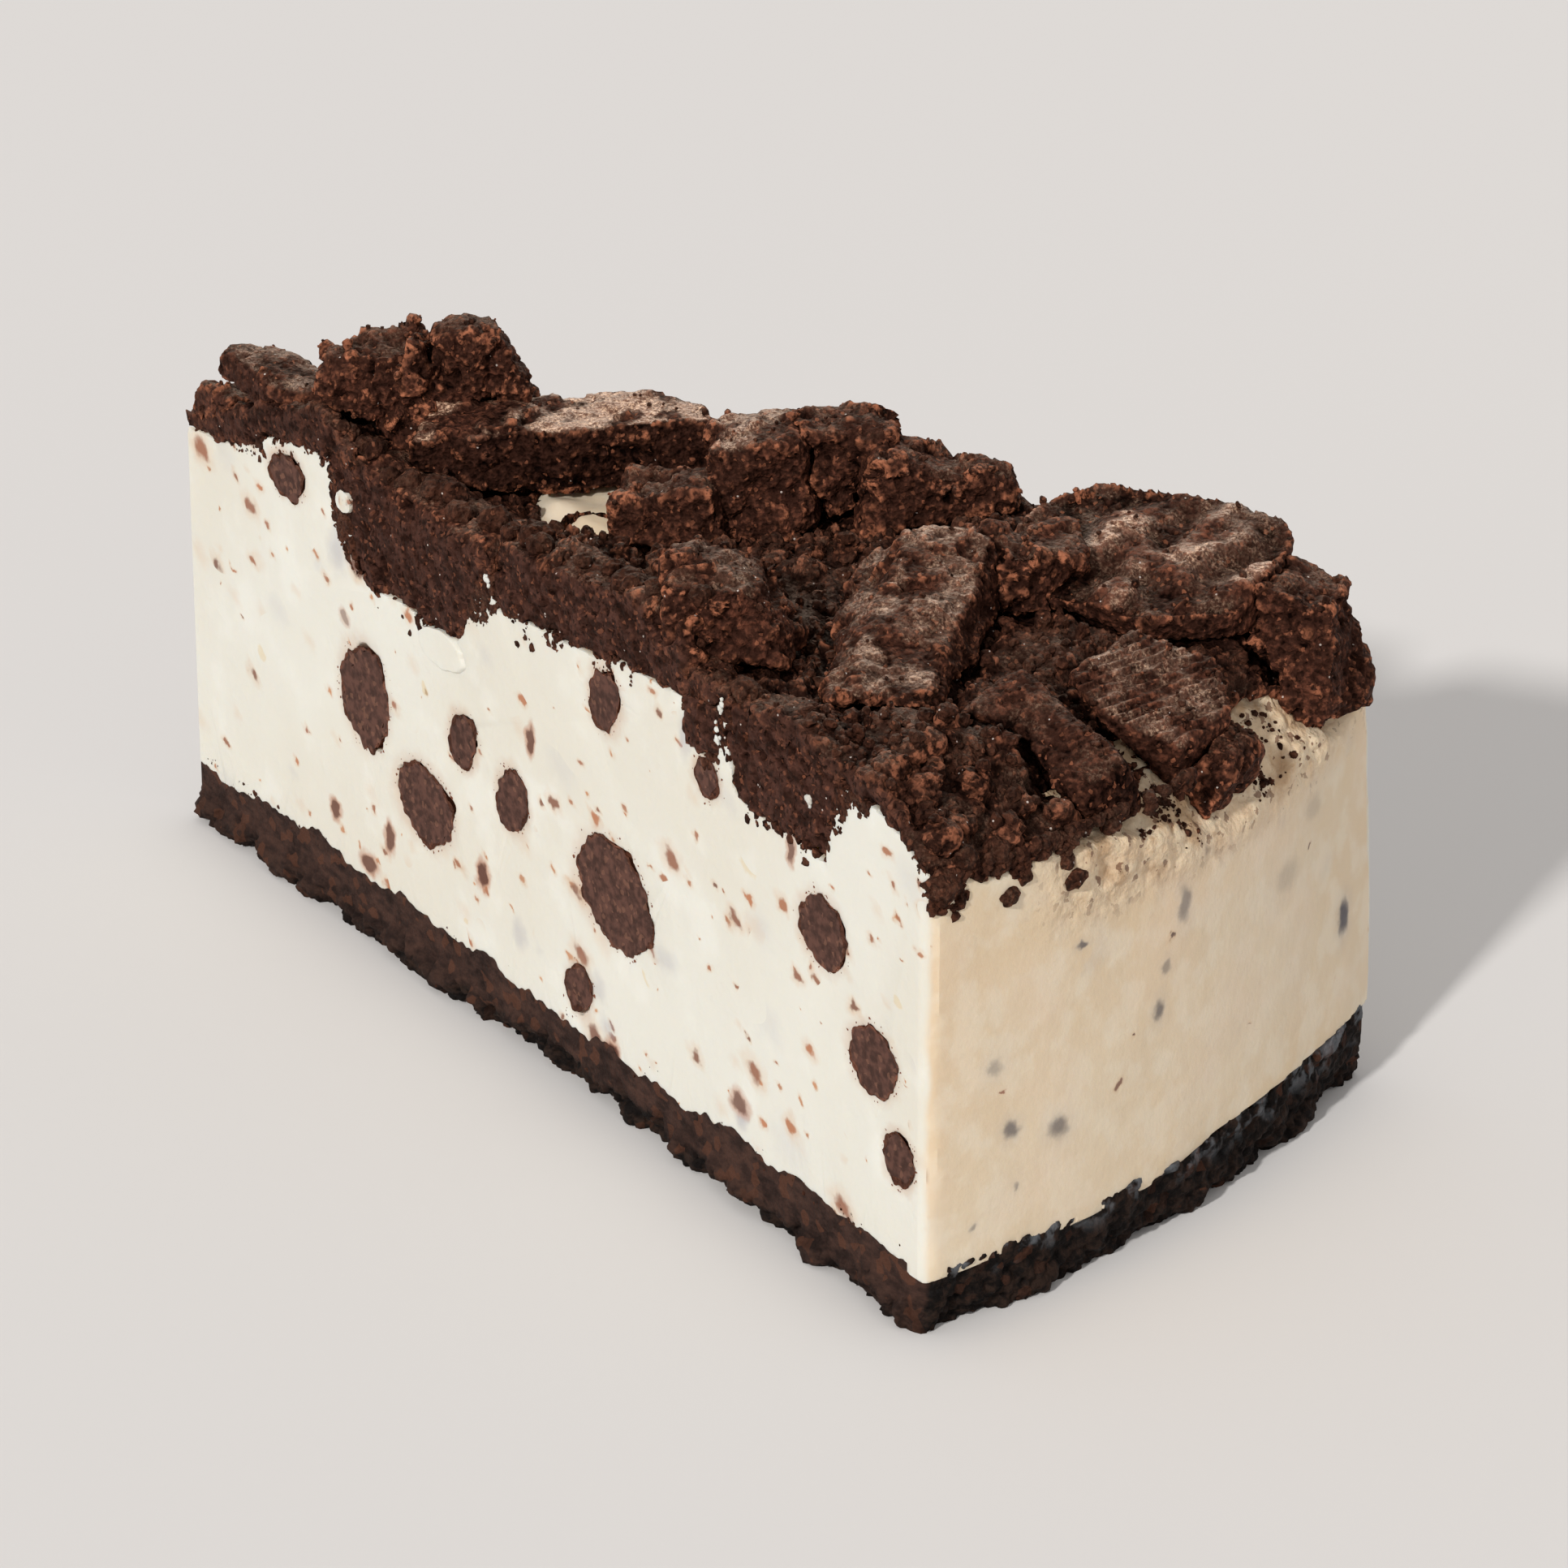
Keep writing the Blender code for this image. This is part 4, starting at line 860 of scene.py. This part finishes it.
def make_bed(material, node_tree):
    """The crumbs: grains of several sizes, sunk beside the pieces with painted shade there, and
    bare in the windows.
    """
    piece = fine_copy("crumb_bed", "crumb_layer", BED_VOXEL)
    points, normals = points_of(piece)
    inside = (nearest_cut(points) < -2.5) & (reach(points) < CAKE_RADIUS - 3.5)
    merge_hidden(piece, inside & (normals[:, 2] < -0.3))
    points, normals = points_of(piece)
    cut = step(nearest_cut(points), -0.6, -0.3)
    up = step(normals[:, 2], 0.2, 0.6)
    inner = step(-nearest_cut(points), 0.8, 2.5) * (1.0 - step(reach(points), 120.5, 123.5))
    sunk = np.zeros(len(points))
    asked = np.nonzero((up > 0.0) & (inner > 0.0))[0]
    sunk[asked] = 1.0 - step(apart_from(points[asked], node_tree, 2.6), 0.4, 2.3)
    bare = bareness(points, WINDOWS)
    coarse, middle, fine = (grains(points, *kind) for kind in ((2.0, 21), (1.0, 22), (0.6, 23)))
    rough = 0.20 * coarse + 0.30 * middle + 0.22 * fine + 0.5 * waves(points, 4.5, 24)
    rough += 0.9 * facets(points, 2.4, 27)
    push = (rough - 0.2) * (1.0 - 0.35 * cut) * (1.0 - 0.7 * bare) - 0.1 * cut + GROW - 0.35 * bare
    points += normals * (push - 1.3 * up * inner * sunk)[:, None]
    for share, left in ((bare, -1.3), (bareness(points, HOLLOWS), 0.6)):
        points[:, 2] -= up * share * np.maximum(points[:, 2] - CREAM_HEIGHT - left, 0.0)
    under = step(-normals[:, 2], 0.2, 0.6) * step(nearest_cut(points), -3.0, -1.0)
    ragged = blend(waves, points, (0.9, 3.0, 25), (0.5, 1.3, 26))
    points[:, 2] -= under * np.maximum(ragged, 0.0)
    fray(points, cut, 28)
    # Painted light and shade: the rise mark makes grain tops lighter and creases and the sunk
    # ground beside the pieces darker; the top mark paints sheen on up-facing crumbs away from the
    # pieces
    rise = 0.25 + 0.3 * middle + 0.25 * fine + 0.3 * coarse - 0.35 * sunk
    top = 0.25 * up * (1.0 - sunk)
    finish_dark(piece, points, rise, 0.8 * cut, top, material, "crumbs", "crumb_bed")
    return piece


def plane_of(points):
    """The middle of a flat piece and the axis of its thickness, pointing up."""
    middle = points.mean(axis=0)
    _, axes = np.linalg.eigh(np.cov((points - middle).T))
    return middle, axes[:, 0] * np.sign(axes[2, 0])


def winding_relief(points, normals):
    """Broad winding lumps and hollows on a round biscuit's top, and where they are raised."""
    middle, thick = plane_of(points)
    local = points - middle
    level = local - np.outer(local @ thick, thick)
    bend = np.stack([waves(points, 8.0, 41), waves(points, 8.0, 42), np.zeros(len(points))], 1)
    winding = waves(level * np.array([1.0, 0.55, 1.0]) + 1.9 * bend, 4.2, 44)
    raised = np.tanh(3.2 * winding)
    on_top = step(normals @ thick, 0.55, 0.85)
    return on_top * (0.95 * raised + 0.25 * waves(points, 1.6, 45) - 0.2), raised


def straight_relief(points, normals):
    """Fine broken parallel ribs on the top of the flat piece."""
    middle, thick = plane_of(points)
    turn = math.radians(RIB_TURN)
    across = np.cross(thick, np.array([math.cos(turn), math.sin(turn), 0.0]))
    place = (points - middle) @ (across / np.linalg.norm(across)) + 0.35 * waves(points, 2.4, 43)
    depth = RIB_DEPTH * (0.6 + 0.5 * waves(points, 1.8, 46))
    return step(normals @ thick, 0.5, 0.8) * depth * np.sin(place * (math.tau / RIB_PITCH))


def make_piece(node, seed, material):
    """One broken piece of biscuit: crags, pits, grains, and its own relief where it has one."""
    crags, graininess, sheen_level = PIECE_LOOKS.get(node, (1.0, 1.0, 0.25))
    piece = fine_copy(node, node + "_crumbly", RELIEF_VOXELS.get(node, PIECE_VOXEL))
    points, normals = points_of(piece)
    if node in ROUNDED:
        put_back(piece, smoothed(piece.data, points, 40))
        points, normals = points_of(piece)
    if node in TRIMS:
        place, outward = (np.array(part) for part in TRIMS[node])
        points -= np.outer(0.92 * np.maximum((points - place) @ outward, 0.0), outward)
    near_cut = step(nearest_cut(points), -0.55, -0.25)
    cut = near_cut if node in CUT_PIECES else 0.5 * near_cut
    lumps = 1.5 * facets(points + 0.5 * waves(points, 2.0, seed)[:, None], 4.6, seed)
    lumps += blend(waves, points, (0.24, 1.8, seed + 1), (0.17, 0.9, seed + 2))
    if node in LAYERED:
        layered = points * np.array([0.35, 0.35, 1.4])
        pits = step(waves(layered, 1.5, seed + 5), 0.20, 0.55) * step(points[:, 0], 36.0, 40.0)
    else:
        pits = step(waves(points, 1.6, seed + 5), 0.30, 0.65)
    coarse = grains(points, 0.85, seed + 3)
    fine = grains(points, 0.55, seed + 4)
    # The top mark: how much painted sheen an up-facing face gets, more on the raised lumps of the
    # round biscuit
    up = step(smoothed(piece.data, normals, 6)[:, 2], 0.55, 0.85)
    top = sheen_level * up
    chipped = step(convexity(piece, 12), 0.10, 0.38) * step(waves(points, 2.4, seed + 6), -0.1, 0.5)
    chipped = chipped * (0.7 + 0.3 * waves(points, 0.9, seed + 7))
    relief = np.zeros(len(points))
    if node == "biscuit_embossed":
        relief, raised = winding_relief(points, normals)
        top *= 0.35 + 0.65 * step(raised, 0.2, 0.9)
    if node == "biscuit_ridged":
        relief = straight_relief(points, normals)
    push = crags * (lumps - 0.5 * pits) + graininess * (0.15 * coarse + 0.15 * fine) - 0.1
    push = push + relief - 0.9 * chipped * min(crags + 0.2, 1.0)
    push = push * (1.0 - 0.35 * cut) - 0.1 * cut + GROW
    points += normals * push[:, None]
    if node in CUT_PIECES:
        fray(points, near_cut, seed + 8)
    # The rise mark sets the tone: lighter on grain tops and raised relief, darker in pits, painted
    # light and shade
    rise = 0.32 + 0.26 * coarse + 0.34 * fine - 0.3 * pits + 0.4 * relief
    # Painted shade: the sides of these pieces are darker than their tops, for how the light falls
    # on them
    if node in SIDES_WITH_PAINTED_SHADE:
        rise -= 0.26 * (1.0 - up)
    finish_dark(piece, points, rise, cut, top, material, "biscuit", node)
    return piece


def outline_of(across, upward):
    """The radius of a flat form in some directions, and the same with its corners rounded."""
    turns = (np.arange(DIRECTIONS) + 0.5) * math.tau / DIRECTIONS - math.pi
    slot = (np.arctan2(upward, across) / math.tau + 0.5) * DIRECTIONS
    sharp = np.zeros(DIRECTIONS)
    np.maximum.at(sharp, np.floor(slot).astype(int) % DIRECTIONS, np.hypot(across, upward))
    sharp = np.maximum(sharp, 0.5 * (np.roll(sharp, 1) + np.roll(sharp, -1)))
    weights = np.hanning(11)[1:-1]
    soft = sum(np.roll(sharp, turn - 4) * weight for turn, weight in enumerate(weights))
    return turns, sharp, soft / weights.sum()


def widen(points, middle, along, share):
    """Moves points within the cut's plane, away from a middle by a share of their distance."""
    arm = points - middle
    points += (np.outer(arm @ along, along) + np.outer(arm[:, 2], UP)) * share[:, None]


def make_bit(node, seed, material, fringe):
    """A bit of biscuit cut flush, with an uneven outline that covers the border of its hollow.

    Places for the small grains round it are added to the fringe."""
    piece = fine_copy(node, node + "_cut", BIT_VOXEL)
    points, _ = points_of(piece)
    middle = points.mean(axis=0)
    rounded = smoothed(piece.data, points, 12)
    spread = np.abs(points - middle).mean() / np.abs(rounded - middle).mean()
    points = middle + (rounded - middle) * (0.35 + 0.65 * spread)
    side = -1.0 if middle[1] < 0.0 else 1.0
    outward = np.array([-SIDE_SIN, side * SIDE_COS, 0.0])
    along = np.cross(outward, UP)
    arm = points - middle
    turns, sharp, soft = outline_of(arm @ along, arm[:, 2])
    turned = np.arctan2(arm[:, 2], arm @ along)
    scale = np.interp(turned, turns, soft / sharp, period=math.tau)
    widen(points, middle, along, scale - 1.0)
    arm = points - middle
    away = np.hypot(arm @ along, arm[:, 2])
    scatter = 0.50 + 0.55 * waves(points, 2.4, seed) + 0.42 * waves(points, 1.0, seed + 1)
    scatter += 0.26 * waves(points, 0.55, seed + 2)
    widen(points, middle, along, scatter / np.maximum(away, 0.4))
    deep = (points - middle) @ outward
    below = past_cut(middle[None, :], side)[0]
    points += outward * np.maximum(PROUD - below - deep.max(), 0.0)
    flat = 1.0 - step(-past_cut(points, side), 1.0, 2.0)
    points += np.outer(flat * np.maximum(PROUD - past_cut(points, side), 0.0), outward)
    flush(points, PROUD)
    put_back(piece, points)
    flatness = smoothed(piece.data, (points_of(piece)[1] @ outward)[:, None], 5)[:, 0]
    mark(piece, "edge", np.clip(1.0 - flatness, 0.0, 1.0))
    dress(piece, material, "biscuit_bits", node)
    draw = random.Random(seed)
    on_plane = middle - outward * below
    for _ in range(int(9.0 * soft.mean())):
        turn = draw.uniform(-math.pi, math.pi)
        radius = float(np.interp(turn, turns, soft, period=math.tau))
        out = radius + 0.65 + abs(draw.gauss(0.0, 0.32))
        size = 0.16 + 0.34 * draw.random() ** 2.0
        place = on_plane + out * (math.cos(turn) * along + math.sin(turn) * UP)
        fringe.append((tuple(place - 0.3 * size * outward), size))


def grain_shape(fineness):
    shape = bmesh.new()
    bmesh.ops.create_icosphere(shape, subdivisions=fineness, radius=0.5)
    places = np.array([vert.co[:] for vert in shape.verts])
    faces = np.array([[vert.index for vert in face.verts] for face in shape.faces])
    shape.free()
    return places, faces


def joined_grains(name, spots, seed, lumpiness=0.42):
    """One mesh of many irregular grains, each given by its place and its size or three sizes."""
    draw = np.random.default_rng(seed)
    shapes = [grain_shape(fineness) for fineness in (1, 2, 3, 5)]
    all_places, all_faces, start = [], [], 0
    for place, size in spots:
        sizes = np.broadcast_to(np.array(size, float), 3)
        largest = sizes.max()
        places, faces = shapes[sum(int(largest > least) for least in FINER_GRAINS)]
        own = places + draw.uniform(0.0, 90.0, 3)
        uneven = lumpiness * (0.45 if largest > 1.6 else 1.0)
        lumpy = 1.0 + uneven * waves(own, 0.6, 7) + 0.6 * lumpiness * waves(own, 0.24, 8)
        grain = places * lumpy[:, None]
        if np.ndim(size) == 0:
            grain = grain * draw.uniform(1.0 - uneven * 0.7, 1.0 + uneven * 0.5, 3)
            turn = Matrix.Rotation(draw.uniform(0.0, math.tau), 3, Vector(draw.normal(size=3)))
            grain = grain @ np.array(turn)
        all_places.append(grain * sizes + np.array(place))
        all_faces.append(faces + start)
        start += len(places)
    points = np.concatenate(all_places)
    mesh = bpy.data.meshes.new(name)
    places = (points - ROW_SHIFT) * MM
    mesh.from_pydata(places.tolist(), [], np.concatenate(all_faces).tolist())
    mesh.shade_flat()
    return new_object(name, mesh), points


def tree_of(pieces):
    """A search tree over the faces of pieces in the slice's frame, and the owner of each face."""
    places, faces, owners, start = [], [], [], 0
    for piece in pieces:
        points, _ = points_of(piece)
        places.extend(points.tolist())
        for polygon in piece.data.polygons:
            faces.append([start + i for i in polygon.vertices])
            owners.append(piece.name)
        start += len(points)
    return BVHTree.FromPolygons(places, faces), owners


def fall(tree, x, y, height=90.0):
    """Where something that falls meets faces: the place, the normal, the face and the way down."""
    return tree.ray_cast(Vector((x, y, height)), Vector((0.0, 0.0, -1.0)))


def on_circle(away, turn, height):
    """The place at a distance and a bearing in radians from the slice's axis."""
    return away * math.cos(turn), away * math.sin(turn), height


def noise_at(place, size, seed):
    """Smooth noise at a single place."""
    return waves(np.array([place[:]]), size, seed)[0]


def crumbs_on_top(tree, owners, draw):
    """Loose crumbs where they come to rest: many on the bed, few on the pieces."""
    spots = []
    while len(spots) < TOP_CRUMBS:
        away = CAKE_RADIUS * math.sqrt(draw.uniform(0.001, 0.985))
        x, y, _ = on_circle(away, draw.uniform(-HALF_ANGLE, HALF_ANGLE), 0.0)
        hit, normal, index, _ = fall(tree, x, y)
        if hit is None or normal.z < 0.3 or bareness(np.array([[x, y]]), WINDOWS)[0] > 0.5:
            continue
        on_bed = owners[index] == "crumb_layer"
        if not on_bed and draw.random() > 0.2:
            continue
        largest = 1.6 if on_bed else 0.8
        size = 0.35 + (largest - 0.35) * draw.random() ** 2.4
        if x * SIDE_SIN - abs(y) * SIDE_COS < 0.4 * size:
            continue
        spots.append(((x, y, hit.z + 0.2 * size), size))
    return spots


def crumbs_in_window(tree):
    """Single crumbs on the bare cream."""
    for x, y, size in WINDOW_CRUMBS:
        hit = fall(tree, x, y, CREAM_HEIGHT + 3.0)[0]
        if hit:
            yield (x, y, hit.z + 0.3 * size), size


def crumbs_on_ridge(tree, draw):
    """Larger crumbs along the upper edge of the near cut, half sunk in."""
    along = RIDGE_START
    while along < RIDGE_END:
        along += draw.uniform(1.6, 4.6)
        size = draw.uniform(1.5, 3.5)
        point, _ = on_cut(along, 0.0, -1.0, -0.5 * size - draw.uniform(0.0, 2.2))
        hit = fall(tree, point.x, point.y)[0]
        if hit and hit.z < RIDGE_TOP:
            yield tuple(hit + Vector((0.0, 0.0, 0.12 * size))), size


def crumbs_on_edges(pieces, draw):
    """Small crumbs that still hang on the broken edges of the pieces."""
    for piece in pieces:
        points, normals = points_of(piece)
        edge = np.empty(len(points), np.float32)
        piece.data.attributes["edge"].data.foreach_get("value", edge)
        ready = (edge > 0.30) & (normals[:, 2] > -0.3) & (nearest_cut(points) < -0.6)
        ready = np.nonzero(ready)[0]
        for _ in range(min(len(ready) // 16, 70)):
            i = ready[draw.randrange(len(ready))]
            size = 0.3 + 0.65 * draw.random() ** 2.0
            yield tuple(points[i] + 0.12 * size * normals[i]), size


# Single large crumbs on the rim's edge: bearing, height above CREAM_HEIGHT and size
RIM_BALLS = (
    (-14.1, 0.2, 3.8), (-10.9, -2.6, 2.4), (-10.2, -1.2, 1.8), (-7.5, -3.2, 2.8), (-7.9, -1.4, 2.0),
    (-12.4, 0.6, 2.2), (-9.3, 0.2, 2.0), (-5.4, 0.2, 2.0), (-13.0, 2.2, 2.6), (-11.4, 1.8, 2.4),
)


def crumbs_on_rim(draw):
    """Crumbs that cling in clusters to the cream where the bed ends, fewer further down."""
    spots = []
    for angle, above, size in RIM_BALLS:
        out = CAKE_RADIUS - 0.2 * size
        spots.append((on_circle(out, math.radians(angle), CREAM_HEIGHT + above), size))
    while len(spots) < RIM_CRUMBS:
        angle = draw.uniform(RIM_START, RIM_END)
        share = (angle - RIM_START) / (RIM_END - RIM_START)
        drop = abs(draw.gauss(0.0, 2.0)) * (1.15 - 0.6 * share)
        place = on_circle(CAKE_RADIUS - 0.1, math.radians(angle), CREAM_HEIGHT + 1.6 - drop)
        cluster = noise_at(place, 3.0, 61) + 0.5 * noise_at(place, 1.3, 62)
        if drop <= 5.6 and cluster >= 0.22 * drop - 0.45 + 0.35 * share:
            spots.append((place, 0.3 + 1.0 * draw.random() ** 1.6))
    return spots


def cream_patches():
    """Flat patches of cream over the dark pieces on the near cut."""
    for along, above, width, height in CREAM_PATCHES:
        point, _ = on_cut(along, CREAM_HEIGHT + above, -1.0, -0.5)
        yield tuple(point), (width, 4.4, height)


def in_plane(along, height, side):
    """A place in the plane of a cut: the distance from the tip and the height."""
    return along * SIDE_COS, side * along * SIDE_SIN, height


def on_cut(along, height, side, proud=0.0):
    """A place on a cut face or a little out of it, and the direction out of it."""
    outward = Vector((-SIDE_SIN, side * SIDE_COS, 0.0))
    return Vector(in_plane(along, height, side)) + proud * outward, outward


def shows_cream(point, outward, dark_tree, cream_tree):
    """Whether a look straight at the cut meets cream before anything dark."""
    dark = dark_tree.ray_cast(point + 5.0 * outward, -outward, 6.5)[3]
    cream = cream_tree.ray_cast(point + 5.0 * outward, -outward, 6.5)[3]
    return cream is not None and (dark is None or cream < dark)


def crumbs_filling_border(dark_tree, cream_tree, draw):
    """Crumbs on the near cut wherever cream shows above the topping's true lower border."""
    along_border, heights = zip(*CUT_BORDER)
    spots = []
    for _ in range(BORDER_TRIES):
        along = draw.uniform(1.0, CAKE_RADIUS - 0.5)
        low = float(np.interp(along, along_border, heights))
        above = draw.uniform(0.0, 9.0)
        point, outward = on_cut(along, CREAM_HEIGHT + low + above, -1.0)
        if above < 8.8 and shows_cream(point, outward, dark_tree, cream_tree):
            size = min(0.35 + 0.9 * above, 1.9) * draw.uniform(0.7, 1.1)
            spots.append((tuple(point - outward * 0.38 * size), size))
    return spots


def crumbs_along_border(dark_tree, cream_tree, draw, side, count):
    """Small crumbs pressed into the cut along the lower border of the topping."""
    spots = []
    while len(spots) < count:
        along = draw.uniform(2.0, CAKE_RADIUS - 0.5)
        height = CREAM_HEIGHT + 8.0
        while height > CREAM_HEIGHT - 9.0:
            point, outward = on_cut(along, height, side)
            if shows_cream(point, outward, dark_tree, cream_tree):
                break
            height -= 0.4
        else:
            continue
        size = 0.3 + 1.1 * draw.random() ** 2.2
        height += 0.35 - abs(draw.gauss(0.0, 0.8))
        point, _ = on_cut(along, height, side, -0.3 * size)
        if noise_at(point, 4.0, 65) > -0.05:
            spots.append((tuple(point), size))
    return spots


def crumbs_at_foot(draw):
    """Small crumbs along the border of the base and the cream, on both cuts."""
    for side, count in zip(SIDES, FOOT_CRUMBS):
        for _ in range(count):
            size = 0.22 + 0.5 * draw.random() ** 2.0
            height = CRUST_TOP + 0.55 + draw.gauss(0.0, 0.5)
            point, _ = on_cut(draw.uniform(1.5, CAKE_RADIUS - 0.6), height, side, -0.3 * size)
            if noise_at(point, 3.0, 64) > 0.15:
                yield tuple(point), size


def dust_on_shoulder(tree, draw):
    """Brown dust in clusters on the bare cream of the shoulder, under the ridged biscuit."""
    spots = []
    while len(spots) < SHOULDER_CRUMBS:
        turn = math.radians(draw.gauss(1.5, 4.6))
        x, y, _ = on_circle(CAKE_RADIUS - abs(draw.gauss(0.0, 3.0)), turn, 0.0)
        if noise_at((x, y, 0.0), 2.2, 63) < 0.0:
            continue
        hit = fall(tree, x, y)[0]
        if hit is None or hit.z < CREAM_HEIGHT - 6.0 or abs(turn) > HALF_ANGLE * 0.95:
            continue
        size = 0.2 + 0.55 * draw.random() ** 2.0
        spots.append(((x, y, hit.z + 0.1 * size), size))
    return spots


def cream_smears(draw):
    """Thin smears of cream on the near cut between the pieces."""
    for along, above, width, height in CUT_SMEARS:
        for _ in range(6):
            shift = draw.gauss(0.0, 0.32 * width), draw.gauss(0.0, 0.32 * height)
            point, _ = on_cut(along + shift[0], CREAM_HEIGHT + above + shift[1], -1.0, 0.16)
            size = draw.uniform(0.35, 0.8)
            yield tuple(point), (0.8 * size, 0.35, size)


def loose_piece(name, spots, seed, material, level, red_tint=0.14):
    """A mesh of loose crumbs, none of which stands further out of a cut than a level."""
    piece, points = joined_grains(name, spots, seed)
    flush(points, level)
    put_back(piece, points)
    # For the dark material these marks paint lighter grain tops, darker creases, a little sheen and
    # the red edge light; the bits' material reads only the edge mark, for its reddish border
    mark(piece, "rise", np.clip(0.42 + 0.45 * grains(points, 0.9, seed + 1), 0.0, 1.0))
    for key, value in (("cut", 0.0), ("top", 0.15), ("edge", red_tint)):
        mark(piece, key, np.full(len(points), value))
    dress(piece, material, "crumbs")


def make_loose(filling, bed, pieces, crumb_finish, cream_finish):
    """All that lies loose on the slice or sticks to its cuts."""
    draw = random.Random(5)
    top_tree, owners = tree_of([bed] + pieces)
    cream_tree, _ = tree_of([filling])
    all_tree, _ = tree_of([filling, bed] + pieces)
    spots = crumbs_on_top(top_tree, owners, draw)
    spots += [*crumbs_in_window(cream_tree), *crumbs_on_ridge(top_tree, random.Random(19))]
    loose_piece("loose_crumbs", spots, 71, crumb_finish, 0.2)
    spots = list(crumbs_on_edges(pieces, draw))
    loose_piece("edge_crumbs", spots, 81, crumb_finish, 0.2, 0.5)
    loose_piece("rim_crumbs", crumbs_on_rim(draw), 73, crumb_finish, 0.3)
    spots = crumbs_filling_border(top_tree, cream_tree, draw)
    for side, count in zip(SIDES, BORDER_CRUMBS):
        spots += crumbs_along_border(top_tree, cream_tree, draw, side, count)
    spots += crumbs_at_foot(draw)
    loose_piece("cut_crumbs", spots, 75, crumb_finish, 0.14)
    loose_piece("fine_dust", dust_on_shoulder(all_tree, draw), 77, crumb_finish, 0.2)
    smears = list(cream_smears(draw))
    for name, spots, level, lumpiness in (("cream_smears", smears, 0.38, 0.5),
                                          ("cream_flat_patches", cream_patches(), 0.32, 0.15)):
        piece, points = joined_grains(name, spots, 79, lumpiness)
        piece.data.shade_smooth()
        flush(points, level)
        put_back(piece, points)
        mark(piece, "curd", np.zeros(len(points)))
        dress(piece, cream_finish, "cream")


def make_floor():
    shape = bmesh.new()
    bmesh.ops.create_grid(shape, x_segments=2, y_segments=2, size=6.0)
    mesh = bpy.data.meshes.new("floor")
    shape.to_mesh(mesh)
    shape.free()
    look = Finish("floor")
    shaded = tuple(0.995 * part for part in FLOOR_COLOUR)
    colour = look.mix(look.noise(90.0, 2.0), FLOOR_COLOUR, shaded)
    look.set(Base_Color=colour, Roughness=0.9, Specular_IOR_Level=0.0)
    mesh.materials.append(look.material)
    new_object("floor", mesh)


def facing(direction):
    """The turn of a lamp or camera that looks against a direction."""
    return Vector(direction).to_track_quat("Z", "Y").to_euler()


def make_light():
    """A low sun from the near side, a warm panel behind for the sheen and a pale sky."""
    sun = bpy.data.lights.new("key", "SUN")
    sun.energy = KEY_STRENGTH
    sun.angle = math.radians(KEY_SOFTNESS)
    sun.color = (1.0, 0.985, 0.96)
    rise = math.radians(KEY_HEIGHT)
    towards = (KEY_FROM[0] * math.cos(rise), KEY_FROM[1] * math.cos(rise), math.sin(rise))
    new_object("key", sun).rotation_euler = facing(towards)

    panel = bpy.data.lights.new("back_panel", "AREA")
    panel.shape = "RECTANGLE"
    panel.size, panel.size_y = PANEL_SIZE
    panel.energy = PANEL_POWER
    panel.color = (1.0, 0.82, 0.66)
    glow = new_object("back_panel", panel)
    turn = math.radians(CAMERA_TURN)
    back = Vector((-math.sin(turn), math.cos(turn), 0.0))
    glow.location = back * 0.9 + Vector((0.0, 0.0, 0.62))
    glow.rotation_euler = facing(glow.location - Vector((0.0, 0.0, 0.05)))
    glow.visible_diffuse = False

    world = bpy.data.worlds.new("studio")
    world.use_nodes = True
    sky = world.node_tree.nodes["Background"].inputs
    sky["Color"].default_value = (*SKY_COLOUR, 1.0)
    sky["Strength"].default_value = 1.0
    bpy.context.scene.world = world


def make_camera():
    data = bpy.data.cameras.new("camera")
    data.lens = CAMERA_LENS
    data.sensor_width = 36.0
    data.clip_start = 0.01
    camera = new_object("camera", data)
    turn, pitch = math.radians(CAMERA_TURN), math.radians(CAMERA_PITCH)
    level = math.cos(pitch)
    back = Vector((math.sin(turn) * level, -math.cos(turn) * level, math.sin(pitch)))
    camera.location = to_row(LOOK_AT) + back * CAMERA_DISTANCE * MM
    camera.rotation_euler = facing(back)
    bpy.context.scene.camera = camera


def nodes_of(slot):
    """The model's nodes with a material slot, in the record's order."""
    return [row["node"] for row in frame["record"]["subparts"] if row["material_slot"] == slot]


def main():
    bpy.context.scene.view_settings.view_transform = "Standard"
    make_camera()
    make_light()
    make_floor()
    cream = cream_material()
    # The colours: crease shade, body, lit grain tops and the red tint of specks and lit edges, then
    # the share of glinting specks and the strength of the painted sheen
    biscuit = biscuit_material("biscuit", (0.0040, 0.0017, 0.0013), (0.040, 0.0148, 0.0096),
                               (0.140, 0.048, 0.028), (0.44, 0.158, 0.082), 0.030, 1.0)
    crumbs = biscuit_material("crumbs", (0.0025, 0.0011, 0.0009), (0.024, 0.0090, 0.0060),
                              (0.080, 0.029, 0.017), (0.30, 0.108, 0.058), 0.040, 0.5)
    bits = bit_material()
    filling = make_filling(cream)
    make_crust(crust_material())
    biscuits = nodes_of("biscuit")
    bed = make_bed(crumbs, tree_of([frame["nodes"][node] for node in biscuits])[0])
    pieces = [make_piece(node, 100 + 10 * i, biscuit) for i, node in enumerate(sorted(biscuits))]
    fringe = []
    for i, node in enumerate(sorted(nodes_of("biscuit_bits"))):
        make_bit(node, 400 + 3 * i, bits, fringe)
    loose_piece("bit_grains", fringe, 83, bits, 0.08, 0.8)
    make_loose(filling, bed, pieces, crumbs, cream)


main()
